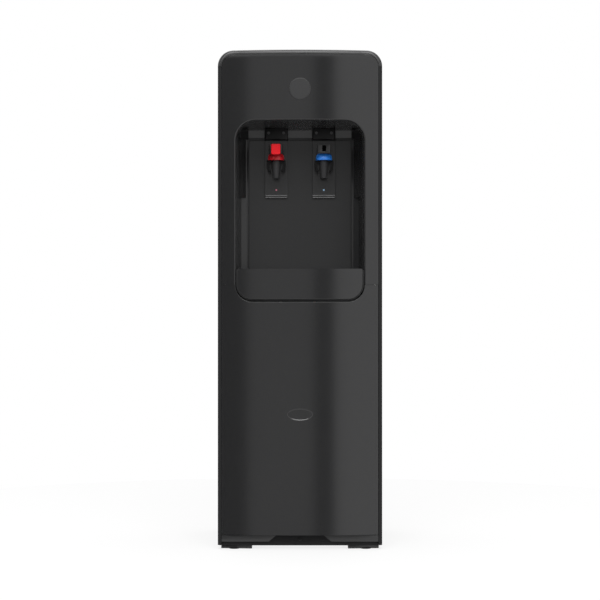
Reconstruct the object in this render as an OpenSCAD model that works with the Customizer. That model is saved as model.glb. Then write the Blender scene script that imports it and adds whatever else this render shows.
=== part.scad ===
// Floor-standing plumbed-in water cooler with a hot tap and a cold tap.
// Millimetres. X is right seen from the front, the front faces -Y, +Z is up.
// The origin is on the floor, in the middle of the cabinet's plan.

/* [Cabinet] */
// Outside width of the cabinet
body_w = 321; // [318:1:324]
// Height of the top
body_h = 974; // [968:1:982]
// Depth from the front bow to the condenser's stand-offs
body_d = 340; // [338:1:346]
// Radius of the two upper corners
top_corner_r = 31; // [29:1:34]
// Radius of the folded front edge
edge_r = 6; // [5:0.5:6.5]
// Width of the frame seen round the front panels
frame_w = 7.1; // [6.7:0.1:7.4]
// Thickness of the folded steel sheet
sheet_t = 1.2; // [1:0.1:1.4]
// Space left behind the rear panel for the condenser
condenser_d = 20; // [20:1:22]

/* [Front panels] */
// How far the front panels bow out at the middle
bow = 12; // [10:0.5:13]
// Wall of the moulded front panels
panel_t = 2.5; // [2:0.1:3]
// Height of the seam between the upper fascia and the lower panel
seam_z = 516; // [512:1:520]
// Height of the blank badge's centre
badge_z = 897.5; // [890:0.5:905]
// Diameter of the blank badge
badge_d = 42; // [36:1:46]
// Height of the oval dish in the lower panel
dish_z = 264; // [240:1:290]

/* [Dispensing bay] */
// Width of the bay's opening in the front panels
bay_w = 254; // [250:1:256]
// Top of the bay's opening
bay_top = 837; // [834:0.2:842]
// Bottom of the opening, under the tray front
bay_low = 482.7; // [480:0.1:485]
// Radius of the opening's upper corners
bay_top_r = 39; // [36:1:42]
// Radius of the opening's lower corners
bay_low_r = 33; // [31:1:35]
// Distance from the front edge of the side panels to the bay's rear wall
bay_depth = 139; // [136:1:141]

/* [Drip tray] */
// Top edge of the tray front
tray_top = 547.5; // [545:0.5:550]
// Groove between the tray front and the lower panel
tray_groove = 4.9; // [4:0.1:5.5]

/* [Taps] */
// Distance between the two taps
tap_pitch = 96; // [94:1:100]
// Distance from the bay's rear wall to the axis of a tap
tap_reach = 46; // [45:0.5:48]
// Lower end of a nozzle above the floor
nozzle_z = 730; // [726:1:732]
// Width of the moulded bezel behind each tap
bezel_w = 46.6; // [44:0.2:50]

/* [Cold and hot water] */
// Diameter of the cold tank
cold_tank_d = 104; // [96:1:108]
// Diameter of the hot tank
hot_tank_d = 90; // [84:1:94]
// Diameter of the filter cartridge
filter_d = 72; // [66:1:76]
// Bore of the push-fit water inlet
inlet_bore_d = 6.4; // [6.2:0.1:6.6]

/* [Cooling] */
// Diameter of the compressor shell
compressor_d = 124; // [116:1:130]
// Passes of the condenser tube
condenser_passes = 12; // [8:1:14]
// Wires on each side of the condenser
condenser_wires_n = 22; // [12:1:26]

/* [Hidden] */

// Fineness of small, middle and very large rounds
round_fn = 48;
wide_fn = 96;
bow_fn = 720;
// Gap between neighbouring panels, and a cut's overshoot
seam = 0.4;
over = 1;

// Colours
shell_grey = [0.16, 0.16, 0.17];
fascia_black = [0.22, 0.22, 0.23];
bay_black = [0.15, 0.15, 0.16];
plate_grey = [0.21, 0.21, 0.22];
tap_black = [0.08, 0.08, 0.09];
hot_red = [0.86, 0.14, 0.19];
hot_dark_red = [0.56, 0.13, 0.13];
cold_blue = [0.22, 0.47, 0.76];
steel = [0.72, 0.73, 0.75];
zinc = [0.62, 0.64, 0.66];
foam = [0.9, 0.88, 0.78];
white_plastic = [0.9, 0.9, 0.9];
rubber_black = [0.1, 0.1, 0.1];
copper = [0.72, 0.45, 0.2];

// Main planes of the cabinet
front_y = -body_d / 2;
rear_y = body_d / 2 - condenser_d;
lip_y = front_y + bow;
fold_y = lip_y + edge_r;
inner_x = body_w / 2 - sheet_t;
inside_x = inner_x - seam;
side_low = 8.5;

// Centres of the top's two rounded corners
corner_x = body_w / 2 - top_corner_r;
corner_z = body_h - top_corner_r;

// Bowed front edge of the top: it meets the straight folded edge near the corners
visor_half = corner_x - 3;
visor_rise = bow - seam;
visor_r = (corner_x * corner_x + visor_rise * visor_rise) / (2 * visor_rise);
visor_cy = lip_y - visor_rise + visor_r;
visor_low = body_h - frame_w;

// Bowed front: radius and centre of its vertical cylinder
bow_half_w = body_w / 2 - frame_w;
bow_r = (bow_half_w * bow_half_w + bow * bow) / (2 * bow);
bow_cy = front_y + bow_r;
panel_rear_y = lip_y + 12;
panel_w = body_w - 2 * frame_w - 2 * seam;
panel_corner_r = top_corner_r - frame_w - seam;
panel_low = 27;
fascia_roll = 2;

// Oval dish in the lower panel, cut by a spindle that lies along X
dish_r = 51.5;
dish_sink = 1.3;
dish_bend = 312;
dish_half = 40;

// Dispensing bay
bay_rear_y = lip_y + bay_depth;
bay_wall = 2.2;
bay_front_w = bay_w - 4;
bay_rear_w = bay_front_w - 17;
bay_fillet = 13;
bay_floor = bay_low + 2.5;
bay_ceiling_rear = 829.5;
band_low = 815.3;
band_run = 5;
plate_t = 3;
plate_w = 206.6;
plate_top = 809.6;
plate_low = 549;
plate_y = bay_rear_y - plate_t;

// Drip tray
tray_w = 226;
tray_rear_y = bay_rear_y - 6;
tray_floor = bay_floor + 0.6;
tray_wall = 2;
tray_rim = 540;
tray_low_r = 28;
tray_face_w = bay_w - 2 * tray_groove;
tray_face_low = bay_low + tray_groove + 0.6;
tray_face_r = bay_low_r - tray_groove + 1;
tray_face_t = 3.5;
grille_t = 3;

// Taps
tap_x = tap_pitch / 2;
tap_y = bay_rear_y - tap_reach;
bezel_top = plate_top;
bezel_low = 692.5;
bezel_t = 6;
bezel_y = plate_y - bezel_t;
header_low = 810;
header_top = 829.4;
header_y = bezel_y - 20;
header_screw_z = 822.6;
shank_z = nozzle_z + 25;
shank_r = 6;
barrel_r = 8.5;
barrel_top = nozzle_z + 36;
water_r = 3.5;
bonnet_r = 16.4;
neck_r = 13.2;
neck_h = 1.3;
ear_in = 15.2;
ear_out = 18.6;
bonnet_top = barrel_top + 11.5;
pin_y = tap_y + 9;
pin_z = nozzle_z + 56;
pin_r = 2;
pin_run = 0.05;
lug_r = 5;
lug_half = 3.5;
arm_w = 18;
cap_w = 27;
cap_low = 778;
lever_top = 796.5;
catch_low = 775.5;
arm_low = 788;
arm_top = 796;
cap_y = tap_y - 21;
cap_t = 6;
stem_r = 2.5;
stem_top = 786.6;
catch_gap = 3.5;
catch_t = 4.5;
catch_w = 18.5;
lamp_z = 709;
lamp_r = 2;

// Rear panels: seam, screws and the places of what comes through them
rear_seam_z = 556;
rear_corner_r = top_corner_r - sheet_t - seam;
rear_top = body_h - sheet_t - seam;
rear_flange = 10;
rear_screw_x = body_w / 2 - 6.4;
rear_screw_z = [45, 290, 540, 575, 750, 925];
screw_r = 1.4;
switch_x = 95;
switch_z = 890;
rocker_half = 6;
rocker_tilt = 8;
rocker_y = rear_y - 4;
rocker_places = [switch_x - 22, switch_x - 4];
knob_r = 8;
knob_x = switch_x + 20;
mains_x = -120;
mains_z = 78;
inlet_x = -78;
inlet_z = 118;
inlet_body_r = 9;
inlet_end_y = rear_y + 12;
inlet_bore_l = 18;
valve_y = 96;
drain_x = -40;
drain_z = 72;
drain_r = 6;
drain_end_y = rear_y + 14;

// Tanks, shelf and tubes behind the bay
shelf_z = rear_seam_z;
cold_x = 70;
cold_y = 72;
cold_foam_r = cold_tank_d / 2 + 14;
cold_low = shelf_z + 16;
cold_top = 812;
hot_x = -78;
hot_y = 78;
hot_foam_r = hot_tank_d / 2 + 15;
hot_low = shelf_z + 16;
hot_top = 762;
foam_t = 14;
tube_r = 3.2;
tube_y = bay_rear_y + 19;
riser_x = -112;
filter_x = -95;
filter_y = -75;
filter_low = 130;
filter_top = 400;
filter_neck_r = 18;
head_h = 40;

// Compressor and condenser
comp_x = 50;
comp_y = 70;
comp_low = 46;
comp_top = 190;
comp_round = 34;
pipe_r = 2.5;
pipe_y = rear_y + 11;
pass_half = 112;
pass_pitch = 45;
pass_z = 215;
pass_top = pass_z + pass_pitch * (condenser_passes - 1);
line_x = 125;
wire_r = 0.9;

// Feet
foot_x = 128.6;
foot_front_y = -138.7;
foot_rear_y = 120;
stud_r = 4;
pan_z = 24;
pan_t = 2;
pan_h = 14;
pan_front_y = lip_y + 2 * edge_r + seam;
pan_rear_y = rear_y - 3 * sheet_t;

// A flat X-Z outline with its own upper and lower corner radii, either of which may be 0
module outline(w, z0, z1, r_top, r_low) {
    translate([-w / 2, z0 + r_low]) square([w, z1 - z0 - r_top - r_low]);
    if (r_top > 0) {
        for (s = [-1, 1]) translate([s * (w / 2 - r_top), z1 - r_top]) circle(r_top, $fn = wide_fn);
        translate([-w / 2 + r_top, z1 - r_top]) square([w - 2 * r_top, r_top]);
    }
    if (r_low > 0) {
        for (s = [-1, 1]) translate([s * (w / 2 - r_low), z0 + r_low]) circle(r_low, $fn = wide_fn);
        translate([-w / 2 + r_low, z0]) square([w - 2 * r_low, r_low]);
    }
}

// Carries a flat X-Z outline along Y
module along_y(y0, y1) translate([0, y1, 0]) rotate([90, 0, 0]) linear_extrude(y1 - y0) children();

// Carries a flat Y-Z outline along X
module along_x(x0, x1) translate([x0, 0, 0]) rotate([90, 0, 90]) linear_extrude(x1 - x0) children();

// A round bar along Y
module bar_y(x, z, y0, y1, r) translate([x, y1, z]) rotate([90, 0, 0])
    cylinder(r = r, h = y1 - y0, $fn = round_fn);

// A round bar along X
module bar_x(y, z, x0, x1, r) translate([x0, y, z]) rotate([0, 90, 0])
    cylinder(r = r, h = x1 - x0, $fn = round_fn);

// A round bar along Z
module bar_z(x, y, z0, z1, r) translate([x, y, z0]) cylinder(r = r, h = z1 - z0, $fn = round_fn);

// A block between two corners
module block(x0, x1, y0, y1, z0, z1) translate([x0, y0, z0]) cube([x1 - x0, y1 - y0, z1 - z0]);

// The space behind the bowed front, with its upper edge rolled back where roll is given
module bow_solid(inset, z0, z1, roll = 0) {
    r = bow_r - inset;
    translate([0, bow_cy, 0]) if (roll > 0) rotate_extrude($fn = bow_fn) polygon([
        [0, z0], [r, z0], [r, z1 - roll], [r - 0.3 * roll, z1 - 0.3 * roll], [r - roll, z1], [0, z1]
    ]);
    else translate([0, 0, z0]) cylinder(r = r, h = z1 - z0, $fn = bow_fn);
}

// Folded sheet section: the first axis runs inwards from the outer face, the second is depth
module shell_section() {
    translate([0, fold_y]) square([sheet_t, rear_y - fold_y]);
    intersection() {
        translate([0, lip_y]) square(edge_r);
        difference() {
            translate([edge_r, fold_y]) circle(edge_r, $fn = wide_fn);
            translate([edge_r, fold_y]) circle(edge_r - sheet_t, $fn = wide_fn);
        }
    }
    translate([frame_w - sheet_t, lip_y]) square([sheet_t, 2 * edge_r]);
    translate([0, rear_y - 2 * sheet_t - 0.1]) square([rear_flange, sheet_t]);
}

// Steel tray that carries the feet and the compressor
module base_pan() color(zinc) difference() {
    block(-inside_x, inside_x, pan_front_y, pan_rear_y, pan_z, pan_z + pan_h);
    block(-inside_x + pan_t, inside_x - pan_t, pan_front_y + pan_t,
          pan_rear_y - pan_t, pan_z + pan_t, pan_z + pan_h + over);
    for (s = [-1, 1]) for (y = [foot_front_y, foot_rear_y])
        bar_z(s * foot_x, y, pan_z - over, pan_z + pan_t + over, stud_r + 0.5);
}

// Moulded plinth with a shallow arch in the middle
module plinth() color(shell_grey) {
    strip_low = 14.8;
    strip_top = 26.2;
    step = 6;
    difference() {
        union() {
            block(-panel_w / 2, panel_w / 2, lip_y + step, pan_front_y - seam, side_low, strip_top);
            difference() {
                block(-panel_w / 2, panel_w / 2, lip_y + 0.5, lip_y + step, strip_low, strip_top);
                along_y(lip_y - over, lip_y + step) polygon([
                    [-61, strip_low - over], [61, strip_low - over], [61, strip_low],
                    [46, strip_top + over], [-46, strip_top + over], [-61, strip_low]
                ]);
            }
        }
        bar_y(0, 19, lip_y, lip_y + step + 8, 1.5);
    }
}

// Four moulded blocks under the corners of the base
module foot_blocks() color(rubber_black) for (s = [-1, 1]) for (front = [0, 1]) {
    y = front == 1 ? foot_front_y : foot_rear_y;
    toe = front == 1 ? y - 11.3 : y - 24;
    heel = front == 1 ? y + 40 : y + 24;
    seat = front == 1 ? pan_front_y : y - 16;
    difference() {
        union() {
            block(s * 124.05 - 30.25, s * 124.05 + 30.25, toe, heel, 2.7, side_low - 0.3);
            block(s * 124.05 - 30.25, s * 124.05 + 30.25, seat, heel, side_low - 0.3, pan_z);
        }
        bar_z(s * foot_x, y, 2.7 - over, pan_z + over, stud_r + 0.06);
    }
}

// Screw-in levelling foot: a disc with a stud
module levelling_foot(x, y) color(rubber_black) {
    translate([x, y, 0]) cylinder(r1 = 10.8, r2 = 12.3, h = 2.4, $fn = round_fn);
    bar_z(x, y, 2.4, 42, stud_r);
}
module foot_front_left() levelling_foot(-foot_x, foot_front_y);
module foot_front_right() levelling_foot(foot_x, foot_front_y);
module foot_rear_left() levelling_foot(-foot_x, foot_rear_y);
module foot_rear_right() levelling_foot(foot_x, foot_rear_y);

// Folded steel sides
module side_panel() difference() {
    translate([body_w / 2, 0, side_low]) mirror([1, 0, 0])
        linear_extrude(corner_z - side_low) shell_section();
    for (z = rear_screw_z) bar_y(rear_screw_x, z, rear_y - 8, rear_y - sheet_t, screw_r + 0.1);
}
module right_side_panel() color(shell_grey) side_panel();
module left_side_panel() color(shell_grey) mirror([1, 0, 0]) side_panel();

// Top with its two rounded corners and its bowed front edge
module top_cover() color(shell_grey) {
    intersection() {
        translate([0, visor_cy, 0]) rotate_extrude($fn = bow_fn) polygon(concat(
            [[0, visor_low], [visor_r, visor_low]],
            [for (a = [0 : 15 : 90])
                [visor_r - edge_r + edge_r * cos(a), body_h - edge_r + edge_r * sin(a)]],
            [[0, body_h]]
        ));
        block(-visor_half, visor_half, front_y - over, fold_y + sheet_t, visor_low - over, body_h + over);
    }
    for (s = [0, 1]) mirror([s, 0, 0]) translate([corner_x, 0, corner_z])
        rotate([90, 0, 0]) rotate_extrude(angle = 90, $fn = wide_fn)
            translate([top_corner_r, 0]) rotate(180) shell_section();
    translate([-corner_x, 0, body_h]) rotate([0, 90, 0]) linear_extrude(2 * corner_x) shell_section();
}

// Rear panels: flat sheets with air slots, over the shell's rear flange
module air_slots(x0, x1, z0, z1) for (z = [z0 : 9 : z1])
    block(x0, x1, rear_y - sheet_t - over, rear_y + over, z, z + 3.6);

module rear_upper_panel() color(shell_grey) difference() {
    along_y(rear_y - sheet_t, rear_y)
        outline(2 * inside_x, rear_seam_z + seam, rear_top, rear_corner_r, 0);
    air_slots(-110, -60, 790, 840);
    air_slots(-50, 0, 790, 840);
    block(switch_x - 33, switch_x + 33, rear_y - 2 * sheet_t, rear_y + over, switch_z - 20, switch_z + 20);
    bar_y(line_x, pass_top, rear_y - 2 * sheet_t, rear_y + over, pipe_r + 1.5);
    screw_holes();
}

module rear_lower_panel() color(shell_grey) difference() {
    block(-inside_x, inside_x, rear_y - sheet_t, rear_y, pan_z + over, rear_seam_z);
    air_slots(-5, 45, 62, 165);
    air_slots(55, 105, 62, 165);
    block(mains_x - 13.9, mains_x + 13.9, rear_y - 2 * sheet_t, rear_y + over,
          mains_z - 10.4, mains_z + 10.4);
    bar_y(inlet_x, inlet_z, rear_y - 2 * sheet_t, rear_y + over, inlet_body_r + 0.4);
    bar_y(drain_x, drain_z, rear_y - 2 * sheet_t, rear_y + over, drain_r + 0.4);
    bar_y(line_x, pass_z, rear_y - 2 * sheet_t, rear_y + over, pipe_r + 1.5);
    screw_holes();
}

module screw_holes() for (s = [-1, 1]) for (z = rear_screw_z)
    bar_y(s * rear_screw_x, z, rear_y - 8, rear_y + over, screw_r + 0.2);

// Pan-head screws of the rear panels and the one in the plinth's arch
module case_screw(x, z, y, s) {
    bar_y(x, z, min(y, y + 2 * s), max(y, y + 2 * s), 3.4);
    bar_y(x, z, min(y, y - 6.5 * s), max(y, y - 6.5 * s), screw_r);
}
module case_screws() color(zinc) {
    for (s = [-1, 1]) for (z = rear_screw_z) case_screw(s * rear_screw_x, z, rear_y, 1);
    case_screw(0, 19, lip_y + 6, -1);
}

// Upper fascia: an inverted U of bowed moulding round the bay
module upper_fascia() color(fascia_black) difference() {
    fascia_top = body_h - frame_w - seam;
    intersection() {
        bow_solid(0, seam_z, fascia_top + 0.01, fascia_roll);
        along_y(front_y - over, panel_rear_y)
            outline(panel_w, seam_z + seam, fascia_top, panel_corner_r, 0);
    }
    intersection() {
        bow_solid(panel_t, seam_z, fascia_top - panel_t + 0.01, fascia_roll);
        along_y(front_y - over, panel_rear_y + over)
            outline(panel_w - 2 * panel_t, seam_z + panel_t, fascia_top - panel_t,
                    panel_corner_r - panel_t, 0);
    }
    bay_cut();
    bar_y(0, badge_z, front_y - over, front_y + 1.4, badge_d / 2 + 0.2);
}

module bay_cut() along_y(front_y - over, panel_rear_y + over)
    outline(bay_w, bay_low, bay_top, bay_top_r, bay_low_r);

// Blank round plate in the fascia
module badge_disc() color(plate_grey) bar_y(0, badge_z, front_y, front_y + 1.4, badge_d / 2);

// Lower panel with the notch for the tray front and the oval dish
module lower_panel() color(fascia_black) difference() {
    intersection() {
        bow_solid(0, panel_low - over, seam_z + over);
        along_y(front_y - over, panel_rear_y) lower_outline(0);
    }
    intersection() {
        bow_solid(panel_t, panel_low - over, seam_z + over);
        along_y(front_y - over, panel_rear_y + over) lower_outline(panel_t);
    }
    bay_cut();
    dish();
}

module lower_outline(d) translate([-panel_w / 2 + d, panel_low + d])
    square([panel_w - 2 * d, seam_z - panel_low - 2 * d]);

module dish() translate([0, front_y + dish_sink - dish_r, dish_z]) rotate([0, 90, 0])
    rotate_extrude($fn = wide_fn) intersection() {
        translate([dish_r - dish_bend, 0]) circle(dish_bend, $fn = bow_fn);
        translate([0, -dish_half]) square([dish_r + over, 2 * dish_half]);
    }

// Space of the dispensing bay, grown by g: plan, side and front outlines meet in it
module bay_space(g) intersection() {
    translate([0, 0, bay_floor - 20]) linear_extrude(bay_top - bay_floor + 40) bay_plan(g);
    along_x(-bay_w, bay_w) polygon([
        [lip_y - 15, bay_floor - g], [bay_rear_y + g, bay_floor - g],
        [bay_rear_y + g, band_low + 0.17 * g], [bay_rear_y - band_run + 0.71 * g, bay_ceiling_rear + g],
        [lip_y - 15, bay_top - 0.5 + g]
    ]);
    along_y(lip_y - 20, bay_rear_y + 20)
        outline(bay_front_w + 2 * g, bay_floor - g, bay_top - 1 + g, bay_top_r - 2 + g, bay_low_r - 3 + g);
}

module bay_plan(g) {
    flat = bay_rear_w / 2 - bay_fillet;
    polygon([
        [-bay_front_w / 2 - g, lip_y - 15], [bay_front_w / 2 + g, lip_y - 15],
        [bay_rear_w / 2 + g, bay_rear_y - bay_fillet], [-bay_rear_w / 2 - g, bay_rear_y - bay_fillet]
    ]);
    for (s = [-1, 1]) translate([s * flat, bay_rear_y - bay_fillet]) circle(bay_fillet + g, $fn = wide_fn);
    translate([-flat, bay_rear_y - bay_fillet - over]) square([2 * flat, bay_fillet + g + over]);
}

// Moulded liner of the bay, behind the fascia
module bay_liner() color(bay_black) difference() {
    intersection() {
        bay_space(bay_wall);
        bow_solid(panel_t + seam, bay_floor - 20, bay_top + 20);
    }
    bay_space(0);
    shank_holes(shank_r + 0.3);
}

module shank_holes(r) for (s = [-1, 1]) bar_y(s * tap_x, shank_z, bezel_y - over, bay_rear_y + 10, r);

// Flat insert that covers the bay's rear wall
module bay_back_plate() color(plate_grey) difference() {
    block(-plate_w / 2, plate_w / 2, plate_y, bay_rear_y, plate_low, plate_top);
    shank_holes(shank_r + 0.3);
    for (s = [-1, 1]) bar_y(s * tap_x, lamp_z, plate_y - over, bay_rear_y + over, lamp_r + 0.2);
}

// Raised bezel behind each tap, with three ribs at its foot
module tap_bezels() color([0.24, 0.24, 0.25]) for (s = [-1, 1]) difference() {
    union() {
        translate([s * tap_x, 0, 0]) along_y(bezel_y, plate_y) outline(bezel_w, bezel_low, bezel_top, 3, 3);
        for (i = [0 : 2]) block(s * tap_x - bezel_w / 2 + 2, s * tap_x + bezel_w / 2 - 2,
                                bezel_y - 0.8, bezel_y, bezel_low + 1.5 + 3.6 * i, bezel_low + 3 + 3.6 * i);
    }
    bar_y(s * tap_x, shank_z, bezel_y - over, plate_y + over, shank_r + 0.3);
    bar_y(s * tap_x, lamp_z, bezel_y - over, plate_y + over, lamp_r + 0.2);
}

// Hood above each bezel, open to the rear; its section follows the sloped band behind it
module tap_headers() color(tap_black) for (s = [-1, 1]) difference() {
    along_x(s * tap_x - bezel_w / 2, s * tap_x + bezel_w / 2) polygon([
        [header_y, header_low], [bay_rear_y - 0.1, header_low], [bay_rear_y - 0.1, band_low],
        [bay_rear_y - 0.1 - band_run, header_top], [header_y, header_top]
    ]);
    block(s * tap_x - bezel_w / 2 + 2, s * tap_x + bezel_w / 2 - 2, header_y + 2.5, bay_rear_y,
          header_low + 2, header_top - 2);
    for (t = [-1, 1])
        bar_y(s * tap_x + 15 * t, header_screw_z, header_y - over, header_y + 4, screw_r + 0.1);
}

module header_screws() color(steel) for (s = [-1, 1]) for (t = [-1, 1]) {
    bar_y(s * tap_x + 15 * t, header_screw_z, header_y - 1.2, header_y, 2.6);
    bar_y(s * tap_x + 15 * t, header_screw_z, header_y, header_y + 6, screw_r);
}

// Signal lamps under the taps
module lamp(x) bar_y(x, lamp_z, bezel_y - 0.8, bay_rear_y - 0.5, lamp_r);
module hot_lamp() color(hot_red) lamp(-tap_x);
module cold_lamp() color(cold_blue) lamp(tap_x);

// Tap body: barrel and nozzle, side ears, and the shank through the bay's wall
module tap_bodies() color(tap_black) for (s = [-1, 1]) translate([s * tap_x, tap_y, 0]) difference() {
    union() {
        rotate_extrude($fn = round_fn) polygon([
            [0, nozzle_z], [6, nozzle_z], [6, nozzle_z + 8], [barrel_r, nozzle_z + 16],
            [barrel_r, barrel_top], [0, barrel_top]
        ]);
        block(-ear_out, ear_out, -6, 6, barrel_top - 2.5, barrel_top);
        bar_y(0, shank_z, 0, bay_rear_y - tap_y + 14, shank_r);
        bar_y(0, shank_z, bezel_y - tap_y - 3, bezel_y - tap_y, 10);
        along_y(-4, 4) for (t = [-1, 1]) {
            translate([t * (ear_in + ear_out) / 2 - (ear_out - ear_in) / 2, shank_z])
                square([ear_out - ear_in, barrel_top - shank_z - over]);
            intersection() {
                difference() {
                    translate([0, shank_z]) circle(ear_out, $fn = wide_fn);
                    translate([0, shank_z]) circle(ear_in, $fn = wide_fn);
                }
                polygon([[0, shank_z], [t * 30, shank_z], [t * 30, shank_z - 30]]);
            }
        }
    }
    bar_z(0, 0, nozzle_z - over, barrel_top + over, water_r);
    bar_y(0, shank_z, 0, bay_rear_y - tap_y + 15, water_r - 0.5);
}

// Hexagon nuts that hold the shanks behind the liner
module tap_nuts() color(steel) for (s = [-1, 1]) difference() {
    translate([s * tap_x, bay_rear_y + bay_wall + 6, shank_z]) rotate([90, 0, 0])
        cylinder(r = 11, h = 6, $fn = 6);
    bar_y(s * tap_x, shank_z, bay_rear_y, bay_rear_y + 10, shank_r + 0.05);
}

// Coloured bonnet with the lug that carries the lever
module bonnet(x) translate([x, 0, 0]) difference() {
    union() {
        bar_z(0, tap_y, barrel_top, bonnet_top, bonnet_r);
        bar_z(0, tap_y, bonnet_top - over, bonnet_top + neck_h, neck_r);
        block(-lug_half, lug_half, pin_y - lug_r, pin_y + lug_r, bonnet_top - over, pin_z);
        bar_x(pin_y, pin_z, -lug_half, lug_half, lug_r);
    }
    bar_z(0, tap_y, barrel_top - over, bonnet_top + neck_h + over, stem_r + pin_run);
    bar_x(pin_y, pin_z, -lug_half - over, lug_half + over, pin_r);
}
module hot_bonnet() color(hot_dark_red) bonnet(-tap_x);
module cold_bonnet() color(cold_blue) bonnet(tap_x);

// Hinge pins, held in the bonnets' lugs
module lever_pins() color(steel) for (s = [-1, 1])
    bar_x(pin_y, pin_z, s * tap_x - 8.6, s * tap_x + 8.6, pin_r);

// Valve stem pushed down by its lever
module stem(x) bar_z(x, tap_y, shank_z - 4, stem_top, stem_r);
module hot_stem() color(steel) stem(-tap_x);
module cold_stem() color(steel) stem(tap_x);

// Lever: front cap, arm over the bonnet and two cheeks that run on the pin
module lever(x) translate([x, 0, 0]) difference() {
    union() {
        block(-cap_w / 2, cap_w / 2, cap_y - cap_t, cap_y, cap_low, lever_top);
        block(-arm_w / 2, arm_w / 2, cap_y - over, pin_y - 6, arm_low, arm_top);
        for (s = [-1, 1]) block(s * 6.5 - 2.5, s * 6.5 + 2.5, pin_y - 7, pin_y + 6, pin_z - lug_r, arm_top);
    }
    bar_x(pin_y, pin_z, -arm_w, arm_w, pin_r + pin_run);
}
module hot_lever() color(tap_black) difference() {
    lever(-tap_x);
    block(-tap_x - 4.3, -tap_x + 4.3, cap_y - cap_t - over, cap_y + 0.5, 786.7, 795.3);
}
module cold_lever() color(tap_black) difference() {
    lever(tap_x);
    block(tap_x - 4.3, tap_x + 4.3, cap_y - cap_t - over, cap_y - cap_t + 4.5, 781.5, 795.5);
}

// Safety catch of the hot lever: its tongue runs in the lever's slot
module hot_catch() color(hot_red) {
    face_y = cap_y - cap_t - catch_gap;
    block(-tap_x - catch_w / 2, -tap_x + catch_w / 2, face_y - catch_t, face_y, catch_low, lever_top);
    block(-tap_x - 4, -tap_x + 4, face_y - over, face_y + 6, 787, 795);
}

// Space of the tray: rounded lower corners and a bowed front
module tray_space(g, z0, z1) intersection() {
    along_y(front_y - over, tray_rear_y - g) outline(tray_w - 2 * g, z0, z1, 0, tray_low_r - g);
    bow_solid(tray_face_t + g, z0 - over, z1 + over);
}

// Slide-out drip tray with ledges for the grille
module drip_tray() color(tap_black) {
    difference() {
        tray_space(0, tray_floor, tray_rim);
        tray_space(tray_wall, tray_floor + tray_wall, tray_rim + over);
    }
    ledge_x = tray_w / 2 - 4;
    for (s = [-1, 1]) block(s * ledge_x - 2.1, s * ledge_x + 2.1, lip_y + 8, tray_rear_y - 20,
                            tray_rim - 8, tray_rim - 6);
}

// Bowed face of the tray, flush with the lower panel
module tray_front() color(fascia_black) difference() {
    intersection() {
        bow_solid(0, tray_face_low - over, tray_top + over);
        along_y(front_y - over, lip_y + 2) outline(tray_face_w, tray_face_low, tray_top, 1.5, tray_face_r);
    }
    bow_solid(tray_face_t, tray_face_low - 2 * over, tray_top + 2 * over);
}

// Lift-out grille
module drip_grille() color(bay_black) difference() {
    grille_z = tray_rim - 5.7;
    intersection() {
        along_y(front_y - over, tray_rear_y - tray_wall - 0.6)
            outline(tray_w - 2 * tray_wall - 1.2, grille_z, grille_z + grille_t, 0, 0);
        bow_solid(tray_face_t + tray_wall + 0.6, grille_z - over, grille_z + grille_t + over);
    }
    for (i = [-12 : 12]) for (y0 = [-146, -88])
        block(i * 8 - 2.2, i * 8 + 2.2, y0, y0 + 50, grille_z - over, grille_z + grille_t + over);
}

// Shelf that carries both tanks, with folded flanges
module tank_shelf() color(zinc) {
    shelf_front = bay_rear_y + 23;
    block(-inside_x, inside_x, shelf_front, pan_rear_y, shelf_z, shelf_z + 1.5);
    for (y = [shelf_front, pan_rear_y - 1.5])
        block(-inside_x, inside_x, y, y + 1.5, shelf_z - 14, shelf_z);
}

// A tank: a thin can with a port in its lid
module tank(x, y, r, z0, z1) translate([x, y, 0]) difference() {
    bar_z(0, 0, z0, z1, r);
    bar_z(0, 0, z0 + 1, z1 - 1, r - 1);
    bar_z(0, 0, z1 - 2, z1 + over, tube_r);
}

// Foam jacket of a tank
module jacket(x, y, r, wall, z1) translate([x, y, 0]) difference() {
    bar_z(0, 0, shelf_z + 1.5, z1 + foam_t, r);
    bar_z(0, 0, shelf_z + 16 - 0.2, z1 + 0.2, r - wall);
    bar_z(0, 0, z1, z1 + foam_t + over, tube_r + 0.2);
}
module cold_tank() color(steel) tank(cold_x, cold_y, cold_tank_d / 2, cold_low, cold_top);
module hot_tank() color(steel) tank(hot_x, hot_y, hot_tank_d / 2, hot_low, hot_top);
module cold_insulation() color(foam) jacket(cold_x, cold_y, cold_foam_r, 13.8, cold_top);
module hot_insulation() color(foam) jacket(hot_x, hot_y, hot_foam_r, 14.8, hot_top);

// A tube through a list of points, with an elbow at each turn
module run(points, r) for (i = [0 : len(points) - 2]) {
    d = points[i + 1] - points[i];
    translate(points[i]) rotate([0, acos(d[2] / norm(d)), atan2(d[1], d[0])])
        cylinder(r = r, h = norm(d), $fn = round_fn);
    if (i > 0) translate(points[i]) sphere(r + 1.4, $fn = round_fn);
}

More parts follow.
